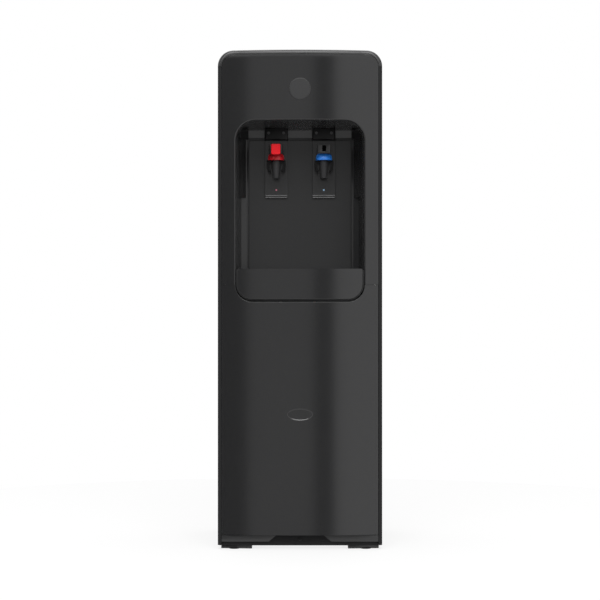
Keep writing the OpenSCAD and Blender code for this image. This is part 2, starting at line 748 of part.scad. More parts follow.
// Water tubes: filter feed, cold tank feed, tap feeds, tank link and drain
module water_tubes() color(white_plastic) {
    feed_z = filter_top + 20;
    head_y = filter_y + 23.3;
    riser_y = bay_rear_y + 12;
    over_z = 855;
    hot_over_z = 800;
    outlet_z = 600;
    shank_end_y = bay_rear_y + 14;
    run([[inlet_x, valve_y, inlet_z], [inlet_x, 50, inlet_z],
         [inlet_x, 50, feed_z], [inlet_x, head_y, feed_z]], tube_r);
    run([[riser_x, head_y, feed_z], [riser_x, riser_y, feed_z], [riser_x, riser_y, over_z],
         [cold_x, riser_y, over_z], [cold_x, cold_y, over_z], [cold_x, cold_y, cold_top]], tube_r);
    run([[-tap_x, shank_end_y, shank_z], [-tap_x, tube_y, shank_z], [-tap_x, tube_y, hot_over_z],
         [-tap_x, hot_y, hot_over_z], [hot_x, hot_y, hot_over_z], [hot_x, hot_y, hot_top]], tube_r);
    run([[tap_x, shank_end_y, shank_z], [tap_x, tube_y, shank_z], [tap_x, tube_y, outlet_z],
         [tap_x + 14, tube_y, outlet_z], [tap_x + 14, cold_y - cold_foam_r + 0.1, outlet_z]], tube_r);
    run([[hot_x + hot_foam_r, cold_y + 4, 620], [cold_x - cold_foam_r, cold_y + 4, 620]], tube_r);
    run([[drain_x, 124, drain_z], [drain_x, 100, drain_z], [drain_x, 100, shelf_z]], tube_r);
}

// Filter head on its bracket, with the neck's bore below
module filter_head() color(white_plastic) difference() {
    union() {
        bar_z(filter_x, filter_y, filter_top, filter_top + head_h, 27);
        head_top = filter_top + head_h;
        side_x = -inside_x;
        block(side_x, filter_x - 10, filter_y - 20, filter_y + 20, head_top - 4, head_top);
        block(side_x, side_x + 3, filter_y - 20, filter_y + 20, filter_top - 10, head_top);
    }
    bar_z(filter_x, filter_y, filter_top - over, filter_top + 22, filter_neck_r + 0.06);
    for (x = [riser_x, inlet_x]) bar_y(x, filter_top + 20, filter_y, filter_y + 40, tube_r - 0.7);
}

// Twist-off filter cartridge
module filter_cartridge() color([0.85, 0.87, 0.9]) translate([filter_x, filter_y, 0]) {
    rotate_extrude($fn = wide_fn) polygon([
        [0, filter_low], [filter_d / 2 - 8, filter_low], [filter_d / 2, filter_low + 8],
        [filter_d / 2, filter_top - 26], [filter_neck_r + 4, filter_top - 6],
        [filter_neck_r + 4, filter_top - 0.5], [filter_neck_r, filter_top - 0.5],
        [filter_neck_r, filter_top + 21], [0, filter_top + 21]
    ]);
    block(-filter_d / 2 + 6, filter_d / 2 - 6, -2.5, 2.5, filter_low - 9, filter_low + 1);
}

// Inlet solenoid valve; its push-fit port is the cooler's water connection
module inlet_valve() color(white_plastic) difference() {
    union() {
        bar_y(inlet_x, inlet_z, valve_y, inlet_end_y, inlet_body_r);
        block(inlet_x - 15, inlet_x + 15, valve_y + 4, valve_y + 32, inlet_z - 13, inlet_z + 13);
        bar_z(inlet_x, valve_y + 18, inlet_z + 12, inlet_z + 44, 12);
    }
    bar_y(inlet_x, inlet_z, inlet_end_y - inlet_bore_l, inlet_end_y + over, inlet_bore_d / 2);
}

// Drain spigot through the rear panel and its screw cap
module drain_spigot() color(white_plastic) difference() {
    union() {
        bar_y(drain_x, drain_z, 124, drain_end_y - 4, drain_r);
        bar_y(drain_x, drain_z, rear_y - 7, rear_y - sheet_t - 0.1, drain_r + 6);
    }
    bar_y(drain_x, drain_z, 130, drain_end_y, drain_r - 2);
}
module drain_cap() color(shell_grey) difference() {
    bar_y(drain_x, drain_z, rear_y + 1, drain_end_y, drain_r + 4);
    bar_y(drain_x, drain_z, rear_y, drain_end_y - 3.5, drain_r + 0.05);
    for (a = [0 : 30 : 330]) translate([drain_x, 0, drain_z]) rotate([0, a, 0])
        bar_y(drain_r + 4.5, 0, rear_y, drain_end_y + over, 1);
}

// Hermetic compressor on its base plate
module compressor() color(tap_black) {
    translate([comp_x, comp_y, 0]) rotate_extrude($fn = wide_fn) intersection() {
        union() {
            flat_r = compressor_d / 2 - comp_round;
            shell_h = comp_top - comp_low;
            translate([0, comp_low]) square([flat_r, shell_h]);
            translate([0, comp_low + comp_round]) square([compressor_d / 2, shell_h - 2 * comp_round]);
            translate([flat_r, comp_low + comp_round]) circle(comp_round, $fn = wide_fn);
            translate([flat_r, comp_top - comp_round]) circle(comp_round, $fn = wide_fn);
        }
        translate([0, comp_low]) square([compressor_d, comp_top - comp_low]);
    }
    difference() {
        block(comp_x - 70, comp_x + 70, comp_y - 55, comp_y + 55, 38.3, 41.3);
        for (x = [-61, 61]) for (y = [-45, 45]) bar_z(comp_x + x, comp_y + y, 38, 42, 5.1);
    }
    bar_z(comp_x, comp_y, 41, 52, 40);
}

// Rubber grommets under the compressor
module compressor_mounts() color(rubber_black) for (x = [-61, 61]) for (y = [-45, 45]) {
    bar_z(comp_x + x, comp_y + y, pan_z + pan_t, 38.2, 10);
    bar_z(comp_x + x, comp_y + y, 38.2, 44, 5);
}

// Discharge, evaporator and suction lines
module refrigerant_lines() color(copper) {
    run([[pass_half, pipe_y, pass_z], [line_x, pipe_y, pass_z], [line_x, comp_y, pass_z],
         [comp_x, comp_y, pass_z], [comp_x, comp_y, comp_top]], pipe_r);
    run([[pass_half, pipe_y, pass_top], [line_x, pipe_y, pass_top], [line_x, cold_y + 40.2, pass_top]],
        pipe_r);
    run([[comp_x - 20, comp_y, comp_top], [comp_x - 20, comp_y, shelf_z]], pipe_r);
}

// Serpentine condenser tube behind the cabinet
module condenser_tube() color(tap_black) {
    for (i = [0 : condenser_passes - 1])
        bar_x(pipe_y, pass_z + i * pass_pitch, -pass_half, pass_half, pipe_r);
    for (i = [0 : condenser_passes - 2]) {
        side = i % 2 == 0 ? -1 : 1;
        translate([side * pass_half, pipe_y, pass_z + (i + 0.5) * pass_pitch])
            rotate([90, 0, 0]) rotate([0, 0, -90 * side]) rotate_extrude(angle = 180, $fn = wide_fn)
                translate([pass_pitch / 2, 0]) circle(pipe_r, $fn = round_fn);
    }
}

// Cooling wires on both sides of the tube
module condenser_wires() color(tap_black) for (i = [0 : condenser_wires_n - 1]) for (s = [-1, 1]) {
    wire_span = 2 * pass_half - 12;
    wire_x = -wire_span / 2 + i * wire_span / (condenser_wires_n - 1);
    bar_z(wire_x, pipe_y + s * (pipe_r + wire_r + 0.1), pass_z - 12, pass_top + 12, wire_r);
}

// Stand-offs that hold the condenser and keep the cooler off a wall
module condenser_brackets() color(zinc) for (s = [-1, 1]) for (z = [pass_z + 22, pass_top - 22])
    block(s * 143.5 - 5.5, s * 143.5 + 5.5, rear_y, body_d / 2, z - 12, z + 12);

// Three-pole mains inlet, open to the rear
module mains_inlet() color(rubber_black) difference() {
    union() {
        block(mains_x - 16, mains_x + 16, rear_y, rear_y + 2.5, mains_z - 12.5, mains_z + 12.5);
        block(mains_x - 13.5, mains_x + 13.5, rear_y - 18, rear_y, mains_z - 10, mains_z + 10);
    }
    block(mains_x - 11.8, mains_x + 11.8, rear_y - 14, rear_y + 3, mains_z - 8.2, mains_z + 8.2);
    pins();
}
module pins() for (p = [[-7, 0.5], [0, 4.5], [7, 0.5]]) translate([mains_x + p[0], 0, mains_z + p[1]])
    block(-1, 1, rear_y - 24, rear_y - 2, -2, 2);
module mains_pins() color(steel) pins();

// Plate with two rocker wells and the thermostat's bush
module switch_plate() color(rubber_black) difference() {
    union() {
        block(switch_x - 37, switch_x + 37, rear_y, rear_y + 2, switch_z - 24, switch_z + 24);
        block(switch_x - 32.5, switch_x + 32.5, rear_y - 12, rear_y, switch_z - 19.5, switch_z + 19.5);
    }
    for (x = rocker_places) {
        block(x - rocker_half - 0.4, x + rocker_half + 0.4, rear_y - 9, rear_y + 3,
              switch_z - 11, switch_z + 11);
        bar_x(rocker_y, switch_z, x - rocker_half - 2, x + rocker_half + 2, 1.25);
    }
    bar_y(knob_x, switch_z, rear_y - 13, rear_y + 3, 3.05);
}

// Rocker with trunnions, hollow-faced so that one end always stands proud
module rocker(x) {
    translate([0, rocker_y, switch_z]) rotate([rocker_tilt, 0, 0]) along_x(x - rocker_half, x + rocker_half)
        polygon([[-2.5, -7], [-2.5, 7], [6.6, 9.6], [5, 0], [6.6, -9.6]]);
    bar_x(rocker_y, switch_z, x - rocker_half - 1.7, x + rocker_half + 1.7, 1.2);
}
module hot_rocker() color(hot_red) rocker(rocker_places[0]);
module cold_rocker() color(cold_blue) rocker(rocker_places[1]);

// Thermostat knob with its shaft and a pointer groove
module thermostat_knob() color(shell_grey) difference() {
    union() {
        bar_y(knob_x, switch_z, rear_y + 2.4, rear_y + 12, knob_r);
        bar_y(knob_x, switch_z, rear_y - 12, rear_y + 3, 3);
    }
    block(knob_x - 0.7, knob_x + 0.7, rear_y + 10.5, rear_y + 13, switch_z + 1, switch_z + knob_r + 1);
}

base_pan();
plinth();
foot_blocks();
foot_front_left();
foot_front_right();
foot_rear_left();
foot_rear_right();
left_side_panel();
right_side_panel();
top_cover();
rear_upper_panel();
rear_lower_panel();
case_screws();
upper_fascia();
lower_panel();
badge_disc();
bay_liner();
bay_back_plate();
tap_bezels();
tap_headers();
header_screws();
hot_lamp();
cold_lamp();
tap_bodies();
tap_nuts();
hot_bonnet();
cold_bonnet();
lever_pins();
hot_stem();
cold_stem();
hot_lever();
cold_lever();
hot_catch();
drip_tray();
tray_front();
drip_grille();
tank_shelf();
cold_tank();
cold_insulation();
hot_tank();
hot_insulation();
water_tubes();
filter_head();
filter_cartridge();
inlet_valve();
drain_spigot();
drain_cap();
compressor();
compressor_mounts();
refrigerant_lines();
condenser_tube();
condenser_wires();
condenser_brackets();
mains_inlet();
mains_pins();
switch_plate();
hot_rocker();
cold_rocker();
thermostat_knob();
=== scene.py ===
# Floor-standing water cooler, plumbed in, with a hot and a cold lever tap over a slide-out drip tray.
# Metres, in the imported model's own frame: X right, the front faces -Y, Z up, the floor at 0.
import bpy
import math
from bmesh import from_edit_mesh, update_edit_mesh
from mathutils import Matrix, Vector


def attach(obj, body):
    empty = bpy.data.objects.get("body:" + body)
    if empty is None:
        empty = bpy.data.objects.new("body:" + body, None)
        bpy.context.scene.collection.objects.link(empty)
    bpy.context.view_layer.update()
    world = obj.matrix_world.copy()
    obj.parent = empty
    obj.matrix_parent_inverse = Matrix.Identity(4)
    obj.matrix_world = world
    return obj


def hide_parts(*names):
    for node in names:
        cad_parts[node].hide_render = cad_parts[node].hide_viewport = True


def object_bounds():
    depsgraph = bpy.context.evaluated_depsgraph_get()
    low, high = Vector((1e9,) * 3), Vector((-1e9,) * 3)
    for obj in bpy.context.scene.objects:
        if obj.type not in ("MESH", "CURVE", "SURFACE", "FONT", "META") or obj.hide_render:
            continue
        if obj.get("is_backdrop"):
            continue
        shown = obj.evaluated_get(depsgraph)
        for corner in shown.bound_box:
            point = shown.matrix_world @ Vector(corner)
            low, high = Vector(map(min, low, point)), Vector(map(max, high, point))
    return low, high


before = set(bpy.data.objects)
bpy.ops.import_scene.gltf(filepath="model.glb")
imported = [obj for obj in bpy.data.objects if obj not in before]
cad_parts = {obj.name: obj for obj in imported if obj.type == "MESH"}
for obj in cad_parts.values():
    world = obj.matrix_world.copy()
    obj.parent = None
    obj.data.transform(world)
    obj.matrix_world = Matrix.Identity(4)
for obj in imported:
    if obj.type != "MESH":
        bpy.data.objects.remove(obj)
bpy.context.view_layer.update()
bpy.ops.object.select_all(action="DESELECT")


# ---- Camera, floor and light ----
# The camera looks straight at the front, level with the middle of the cabinet. The room is white; the bowed front
# mirrors a tall soft box and a wide dark card behind the camera, and the sides mirror two grey cards. Two more soft
# boxes light the cooler from above.
camera_height = 0.4866
camera_distance = 3.655
bpy.ops.object.camera_add(location=(0, -camera_distance, camera_height), rotation=(math.pi / 2, 0, 0))
camera = bpy.context.object
camera.data.lens = 107.6
camera.data.sensor_width = 36
bpy.context.scene.camera = camera
bpy.context.scene.view_settings.view_transform = "Standard"


def add_node(tree, kind, values=None, links=None):
    """Adds a shader node; values are its sockets' constants, and links are the outputs that feed its sockets."""
    node = tree.nodes.new(kind)
    for socket, value in (values or {}).items():
        node.inputs[socket].default_value = value
    for socket, source in (links or {}).items():
        tree.links.new(source, node.inputs[socket])
    return node


room = bpy.data.worlds.new("white_room")
bpy.context.scene.world = room
room.use_nodes = True
sky = room.node_tree
sky.nodes.clear()
rays = add_node(sky, "ShaderNodeLightPath").outputs
seen = rays["Is Camera Ray"]
for ray in ("Is Glossy Ray", "Is Transmission Ray"):
    either = add_node(sky, "ShaderNodeMath", links={0: seen, 1: rays[ray]})
    either.operation = "MAXIMUM"
    seen = either.outputs[0]
lit_air, white_air = (add_node(sky, "ShaderNodeBackground", {"Color": (1, 1, 1, 1), "Strength": strength})
                      for strength in (0.6, 1.0))
air = add_node(sky, "ShaderNodeMixShader", links={0: seen, 1: lit_air.outputs[0], 2: white_air.outputs[0]})
add_node(sky, "ShaderNodeOutputWorld", links={"Surface": air.outputs[0]})


def new_finish(name, values):
    """A new finish with its tree and its surface shader, on which the given constants are set."""
    finish = bpy.data.materials.new(name)
    finish.use_nodes = True
    skin = finish.node_tree.nodes["Principled BSDF"]
    for socket, value in values.items():
        skin.inputs[socket].default_value = value
    return finish, finish.node_tree, skin


bpy.ops.mesh.primitive_circle_add(vertices=96, radius=1.25, fill_type="NGON")
floor = bpy.context.object
floor.name = "floor"
floor_finish, paper, sheet = new_finish("floor_paper", {"Base Color": (0.97, 0.97, 0.97, 1), "Roughness": 0.9,
                                                        "Specular IOR Level": 0.1})
rays = add_node(paper, "ShaderNodeLightPath").outputs
share = add_node(paper, "ShaderNodeMath", {1: 0.8}, {0: rays["Is Camera Ray"]})
share.operation = "MULTIPLY"
glow = add_node(paper, "ShaderNodeEmission", {"Strength": 1.0})
mix = add_node(paper, "ShaderNodeMixShader", links={0: share.outputs[0], 1: sheet.outputs[0], 2: glow.outputs[0]})
paper.links.new(mix.outputs[0], paper.nodes["Material Output"].inputs["Surface"])
floor.data.materials.append(floor_finish)
floor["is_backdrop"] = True


def soft_box(name, centre, aim, width, height, radiance):
    """A rectangular lamp, turned from its centre to its aim."""
    bpy.ops.object.light_add(type="AREA", location=centre)
    lamp = bpy.context.object
    lamp.name = name
    lamp.data.shape = "RECTANGLE"
    lamp.data.size = width
    lamp.data.size_y = height
    lamp.data.energy = radiance * math.pi * width * height
    toward = [aim[i] - centre[i] for i in range(3)]
    flat = math.hypot(toward[0], toward[1])
    lamp.rotation_euler = (math.atan2(flat, -toward[2]), 0, math.atan2(-toward[0], toward[1]))
    lamp.visible_camera = False


soft_box("soft_box_middle", (-0.55, -6, 0.5), (-0.55, 0, 0.5), 1.94, 3.2, 0.50)
soft_box("soft_box_above", (0, -2.6, 3.0), (0, -0.17, 0.97), 2.6, 2.5, 4.4)
soft_box("soft_box_ceiling", (0, 0.8, 3.6), (0, 0.1, 0.5), 2.6, 2.0, 1.8)


def just_added(name):
    """The piece that was just added, with its name."""
    piece = bpy.context.object
    piece.name = piece.data.name = name
    return piece


def card_cloth(name, shade):
    """Matt felt on a studio card."""
    return new_finish(name, {"Base Color": (shade, shade, shade, 1), "Roughness": 1, "Specular IOR Level": 0})[0]


def studio_card(name, centre, turn, width, height, cloth):
    """A dark card that only reflections see."""
    bpy.ops.object.select_all(action="DESELECT")
    bpy.ops.mesh.primitive_plane_add(size=1, location=centre, rotation=turn)
    card = just_added(name)
    card.scale = (width, height, 1)
    bpy.ops.object.transform_apply()
    card.data.materials.append(cloth)
    card.visible_camera = False
    card.visible_diffuse = False
    card.visible_shadow = False
    card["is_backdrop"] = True
    return card


upright = (math.pi / 2, 0, 0)
sideways = (math.pi / 2, 0, math.pi / 2)
hands = ((-1, "left"), (1, "right"))
dark_card = studio_card("dark_card", (-3.0, -6.3, 0.5), upright, 8.06, 3.6, card_cloth("black_felt", 0.004))
dark_card.visible_diffuse = True
dark_card.visible_shadow = True
for hand, side in hands:
    studio_card("side_card_" + side, (1.25 * hand, 2.15, 0.6), sideways, 3.7, 2.4, card_cloth("grey_felt", 0.05))
floor.visible_glossy = False


# ---- Shell: two folded steel sides and the top, with the rounded edge that frames the front ----
# 1.2 mm steel, folded at the front into a 6 mm roll, powder coated charcoal with a fine orange peel.
# The sides hook into the base pan; the top drops over them. Its front edge bows out with the fascia.
def tone(value):
    """A grey as it is read off a screen, 0 to 255, made a shader's linear colour."""
    value = value / 255
    return value / 12.92 if value <= 0.04045 else ((value + 0.055) / 1.055) ** 2.4


def grey(value):
    """A dark plastic's or paint's grey, with a touch more blue."""
    return (tone(value), tone(value), tone(value * 1.015))


def ramp(tree, pattern, first, last, low=0.0, high=1.0):
    """Colours a pattern from one colour at its low values to another at its high ones."""
    shade = add_node(tree, "ShaderNodeValToRGB", links={"Fac": pattern})
    for stop, place, colour in zip(shade.color_ramp.elements, (low, high), (first, last)):
        stop.position = place
        stop.color = (*colour, 1)
    return shade.outputs["Color"]


def drift(tree, pattern, middle, spread):
    """Lets a number drift round its middle with a pattern."""
    span = add_node(tree, "ShaderNodeMapRange", {"To Min": middle - spread, "To Max": middle + spread},
                    {"Value": pattern})
    return span.outputs["Result"]


def coat(name, dark, light, grain, roughness, bump=0.0, specular=0.5, uneven=0.0, detail=2.0):
    """A finish whose colour drifts between two near tones over a fine grain, with the grain raised a little."""
    finish, tree, skin = new_finish(name, {"Roughness": roughness, "Specular IOR Level": specular})
    place = add_node(tree, "ShaderNodeTexCoord").outputs["Object"]
    speckle = add_node(tree, "ShaderNodeTexNoise", {"Scale": grain, "Detail": detail}, {"Vector": place}).outputs["Fac"]
    tree.links.new(ramp(tree, speckle, dark, light, 0.35, 0.65), skin.inputs["Base Color"])
    if uneven > 0:
        wear = add_node(tree, "ShaderNodeTexNoise", {"Scale": grain / 40, "Detail": 3}, {"Vector": place})
        tree.links.new(drift(tree, wear.outputs["Fac"], roughness, uneven), skin.inputs["Roughness"])
    if bump > 0:
        raised = add_node(tree, "ShaderNodeBump", {"Strength": bump, "Distance": 0.0002}, {"Height": speckle})
        tree.links.new(raised.outputs["Normal"], skin.inputs["Normal"])
    return finish


shell_half = 0.1605
shell_top = 0.974
shell_low = 0.0085
shell_front = -0.158
shell_rear = 0.150
shell_corner = 0.031
shell_roll = 0.006
frame_width = 0.0071
frame_depth = 0.012
steel_thick = 0.0012
top_bow_radius = 0.7287
top_bow_rise = 0.0116
shell_paint = coat("charcoal_powder_coat", grey(33), grey(37), 900, 0.48, bump=0.10, specular=0.12, uneven=0.04)
top_paint = coat("charcoal_powder_coat_top", grey(33), grey(37), 900, 0.28, bump=0.05, specular=0.55, uneven=0.03)


def blank(name, half, low, high, y):
    """A flat upright blank that faces the front, left in edit mode with its origin on its own middle."""
    bpy.ops.object.select_all(action="DESELECT")
    bpy.ops.mesh.primitive_plane_add(size=1, location=(0, y, (low + high) / 2), rotation=upright)
    piece = just_added(name)
    piece.scale = (2 * half, high - low, 1)
    bpy.ops.object.transform_apply(location=False, rotation=True, scale=True)
    bpy.ops.object.mode_set(mode="EDIT")
    return piece


shell = blank("shell", shell_half, shell_low - 0.02, shell_top, shell_front)


# The slack for picking by place, and the overlap of blocks that are joined.
hair = 0.0001


def pick(kind, wanted):
    """In edit mode, selects the points, edges or faces whose middle lies in the wanted place, and nothing else."""
    bpy.ops.mesh.select_mode(type=kind)
    bpy.ops.mesh.select_all(action="DESELECT")
    piece = bpy.context.edit_object
    mesh = from_edit_mesh(piece.data)
    if kind == "VERT":
        for v in mesh.verts:
            v.select_set(wanted(piece.matrix_world @ v.co))
    elif kind == "EDGE":
        for e in mesh.edges:
            a, b = (piece.matrix_world @ v.co for v in e.verts)
            e.select_set(wanted((a + b) / 2, (b - a).normalized()))
    else:
        for f in mesh.faces:
            f.select_set(wanted(piece.matrix_world @ f.calc_center_median(), f.normal))
    mesh.select_flush_mode()
    update_edit_mesh(piece.data)


def bevel(width, steps, affect="EDGES"):
    """In edit mode, rounds the selected edges or points."""
    bpy.ops.mesh.bevel(offset=width, offset_pct=0, segments=steps, affect=affect, clamp_overlap=False)


def round_corners(radius, steps, wanted):
    """In edit mode, rounds the corner points of a flat blank."""
    pick("VERT", wanted)
    bevel(radius, steps, "VERTICES")


round_corners(shell_corner, 14, lambda p: p.z > 0.9)


def take_all():
    """In edit mode, selects the whole piece."""
    bpy.ops.mesh.select_all(action="SELECT")


def draw_out(x, y, z):
    """In edit mode, extrudes what is selected."""
    bpy.ops.mesh.extrude_region_move(TRANSFORM_OT_translate={"value": (x, y, z)})


def face_outward():
    """In edit mode, turns every face outwards."""
    take_all()
    bpy.ops.mesh.normals_make_consistent(inside=False)


def press_back(depth):
    """In edit mode, gives a flat blank its depth, away from the front."""
    bpy.ops.mesh.select_mode(type="FACE")
    take_all()
    draw_out(0, depth, 0)
    face_outward()


press_back(shell_rear - shell_front)


def drop_faces(wanted):
    """In edit mode, takes the wanted faces away."""
    pick("FACE", wanted)
    bpy.ops.mesh.delete(type="FACE")


def inset(width, depth, apart=False):
    """In edit mode, insets the selected faces, together or each apart; a negative depth sinks them."""
    bpy.ops.mesh.inset(thickness=width, depth=depth, use_individual=apart)


drop_faces(lambda p, n: n.y > 0.9 or n.z < -0.9)
pick("FACE", lambda p, n: n.y < -0.9)
inset(frame_width, 0)
bpy.ops.mesh.delete(type="FACE")
side_width = shell_half - shell_corner
corner_height = shell_top - shell_corner
pick("EDGE", lambda p, d: p.y < shell_front + hair and (
    abs(p.x) > shell_half - hair or p.z > shell_top - hair
    or (abs(p.x) > side_width and p.z > corner_height and abs(d.y) < 0.1
        and math.hypot(abs(p.x) - side_width, p.z - corner_height) > shell_corner - 0.001)))
bevel(shell_roll, 7)


def on_frame_edge(p):
    """True on the frame's inner edge: its sides, its top and the arcs between them."""
    beyond, above = abs(p.x) - side_width, p.z - corner_height
    if beyond > hair and above > hair:
        return math.hypot(beyond, above) < shell_corner - frame_width + 0.0004
    return abs(abs(p.x) - shell_half + frame_width) < 0.0002 or abs(p.z - shell_top + frame_width) < 0.0002


pick("EDGE", lambda p, d: p.y < shell_front + hair and abs(d.y) < 0.1 and on_frame_edge(p))
draw_out(0, frame_depth, 0)


def resize(x, y, z, **about):
    """In edit mode, scales what is selected, about its middle or the centre that is given."""
    bpy.ops.transform.resize(value=(x, y, z), **about)


# The frame is a little deeper along the top than at the sides.
pick("VERT", lambda p: p.z > corner_height + hair and on_frame_edge(p))
resize(1, 1, 0.94, center_override=(0, 0, corner_height))


def cut_at(point, normal, keep="both", fill=False):
    """In edit mode, cuts the whole piece at a plane; keep says which side stays and fill closes the cut."""
    take_all()
    bpy.ops.mesh.bisect(plane_co=point, plane_no=normal, clear_outer=keep == "behind",
                        clear_inner=keep == "front", use_fill=fill, threshold=0.00001)


def cut_across(axis, *places):
    """In edit mode, cuts the whole piece square to an axis, at each place along it."""
    for place in places:
        cut_at([place * share for share in axis], axis)


cut_at((0, 0, shell_low), (0, 0, 1), keep="front")
columns = [side_width * i / 12 for i in range(-12, 13)]
cut_across((1, 0, 0), *columns)


def push(x, y, z):
    """In edit mode, moves what is selected."""
    bpy.ops.transform.translate(value=(x, y, z))


for x in columns[1:-1]:
    forward = math.sqrt(top_bow_radius ** 2 - x ** 2) - top_bow_radius + top_bow_rise
    pick("VERT", lambda p: abs(p.x - x) < 0.00005 and p.y < shell_front + shell_roll + hair)
    push(0, -forward, 0)


def shaped(piece, kind, name, **settings):
    """Adds a modifier, sets it and applies it."""
    if bpy.context.mode == "EDIT_MESH":
        bpy.ops.object.mode_set(mode="OBJECT")
    bpy.context.view_layer.objects.active = piece
    step = piece.modifiers.new(name, kind)
    for key, value in settings.items():
        setattr(step, key, value)
    bpy.ops.object.modifier_apply(modifier=name)


shaped(shell, "SOLIDIFY", "sheet", thickness=steel_thick, offset=-1)


def copy_of(piece, name):
    """A copy of a piece with its own mesh, left in edit mode with all of it selected."""
    twin = piece.copy()
    twin.data = piece.data.copy()
    twin.name = twin.data.name = name
    bpy.context.collection.objects.link(twin)
    bpy.ops.object.select_all(action="DESELECT")
    twin.select_set(True)
    bpy.context.view_layer.objects.active = twin
    bpy.ops.object.mode_set(mode="EDIT")
    take_all()
    return twin


def set_down(piece, finish, body, *nodes, sharp=35):
    """Puts a finished piece's place into its mesh, smooths it, and gives it its finish and its body."""
    if bpy.context.mode == "EDIT_MESH":
        bpy.ops.object.mode_set(mode="OBJECT")
    bpy.ops.object.select_all(action="DESELECT")
    piece.select_set(True)
    bpy.context.view_layer.objects.active = piece
    bpy.ops.object.transform_apply()
    bpy.ops.object.shade_smooth_by_angle(angle=math.radians(sharp))
    piece.data.materials.clear()
    piece.data.materials.append(finish)
    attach(piece, body)
    if nodes:
        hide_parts(*nodes)
    piece.select_set(False)
    return piece


def shell_part(name, node, paint, seams):
    """One of the three sheets, taken from the shell between its seams."""
    part = copy_of(shell, name)
    for point, normal in seams:
        take_all()
        bpy.ops.mesh.bisect(plane_co=point, plane_no=normal, clear_inner=True, use_fill=True)
    set_down(part, paint, "cabinet", node)


seam_half = 0.0001
for hand, side in hands:
    shell_part("shell_" + side, side + "_side_panel", shell_paint,
               (((0, 0, corner_height - seam_half), (0, 0, -1)), ((0, 0, 0), (hand, 0, 0))))
shell_part("shell_top", "top_cover", top_paint, (((0, 0, corner_height + seam_half), (0, 0, 1)),))
bpy.data.objects.remove(shell)


# ---- Base pan and foot blocks: what the cooler stands on ----
# A pan folded from zinc-coated sheet carries the feet and the compressor. Four moulded blocks are screwed under its
# corners, and the studs of the levelling feet pass through both.
def zinc_coat(name, dull, bright, spangle, roughness):
    """Zinc-coated sheet: flat grey crystals of slightly different sheen."""
    finish, tree, skin = new_finish(name, {"Metallic": 0.85})
    place = add_node(tree, "ShaderNodeTexCoord").outputs["Object"]
    crystals = add_node(tree, "ShaderNodeTexVoronoi", {"Scale": spangle}, {"Vector": place}).outputs["Color"]
    tree.links.new(ramp(tree, crystals, dull, bright), skin.inputs["Base Color"])
    tree.links.new(drift(tree, crystals, roughness, 0.08), skin.inputs["Roughness"])
    return finish


def soften(piece, width, steps=3, limit=40):
    """Rounds every sharp edge of a piece a little."""
    shaped(piece, "BEVEL", "soft_edges", width=width, segments=steps, limit_method="ANGLE",
           angle_limit=math.radians(limit), use_clamp_overlap=True)
    shaped(piece, "WELD", "closed_corners", merge_threshold=0.00001)


def even_light(piece):
    """Lets the large faces set the smoothed edges' shading."""
    shaped(piece, "WEIGHTED_NORMAL", "even_light", keep_sharp=True, weight=60)


def eased(node, name, finish, width, body="cabinet"):
    """A copy of a CAD node, its triangles merged into faces and its sharp edges eased."""
    piece = copy_of(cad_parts[node], name)
    bpy.ops.mesh.remove_doubles(threshold=0.00001)
    bpy.ops.mesh.dissolve_limited(angle_limit=0.01)
    if width > 0:
        soften(piece, width, 2, 30)
    set_down(piece, finish, body, node)
    even_light(piece)


galvanised = zinc_coat("zinc_coated_sheet", (0.36, 0.37, 0.38), (0.52, 0.53, 0.54), 160, 0.38)
eased("base_pan", "base_tray", galvanised, 0.0004)


def slab(name, x0, x1, y0, y1, z0, z1):
    """A block between two corners, left in edit mode."""
    bpy.ops.object.select_all(action="DESELECT")
    bpy.ops.mesh.primitive_cube_add(size=1, location=((x0 + x1) / 2, (y0 + y1) / 2, (z0 + z1) / 2))
    piece = just_added(name)
    piece.scale = (x1 - x0, y1 - y0, z1 - z0)
    bpy.ops.object.transform_apply()
    bpy.ops.object.mode_set(mode="EDIT")
    return piece


block_plastic = coat("block_pp", grey(36), grey(40), 600, 0.2, bump=0.04)
block_inner = 0.0938
block_outer = 0.1543
block_low = 0.0008
block_shelf = 0.0082
block_top = 0.024
block_skew = 0.0060
for row, toe, heel, seat in (("front", -0.150, -0.0987, -0.1456), ("rear", 0.096, 0.144, 0.104)):
    for hand, side in hands:
        x0, x1 = sorted((block_inner * hand, block_outer * hand))
        block = slab(f"foot_block_{row}_{side}", x0, x1, toe, heel, block_low, block_shelf)
        pick("VERT", lambda p: p.y < toe + hair and p.x * hand > block_outer - hair)
        push(0, block_skew, 0)
        pick("EDGE", lambda p, d: abs(d.z) > 0.9)
        bevel(0.002, 4)
        pick("FACE", lambda p, n: n.z > 0.9)
        inset(0.0006, 0)
        draw_out(0, 0, block_top - block_shelf)
        pick("VERT", lambda p: p.z > block_shelf + hair and p.y < (toe + heel) / 2)
        push(0, seat - toe, 0)
        soften(block, 0.0005)
        set_down(block, block_plastic, "cabinet", *(("foot_blocks",) if row == "front" and hand < 0 else ()))


# ---- Levelling feet: rubber discs on threaded studs ----
# Each is a moulded disc with a ribbed rim on an M8 stud, and turns in its block to level the cooler.
foot_rubber = coat("foot_rubber", grey(18), grey(26), 900, 0.7, bump=0.12, specular=0.3)
stud_zinc = zinc_coat("stud_zinc", (0.40, 0.40, 0.39), (0.55, 0.54, 0.52), 900, 0.35)
foot_across = 0.1286
stud_radius = 0.004


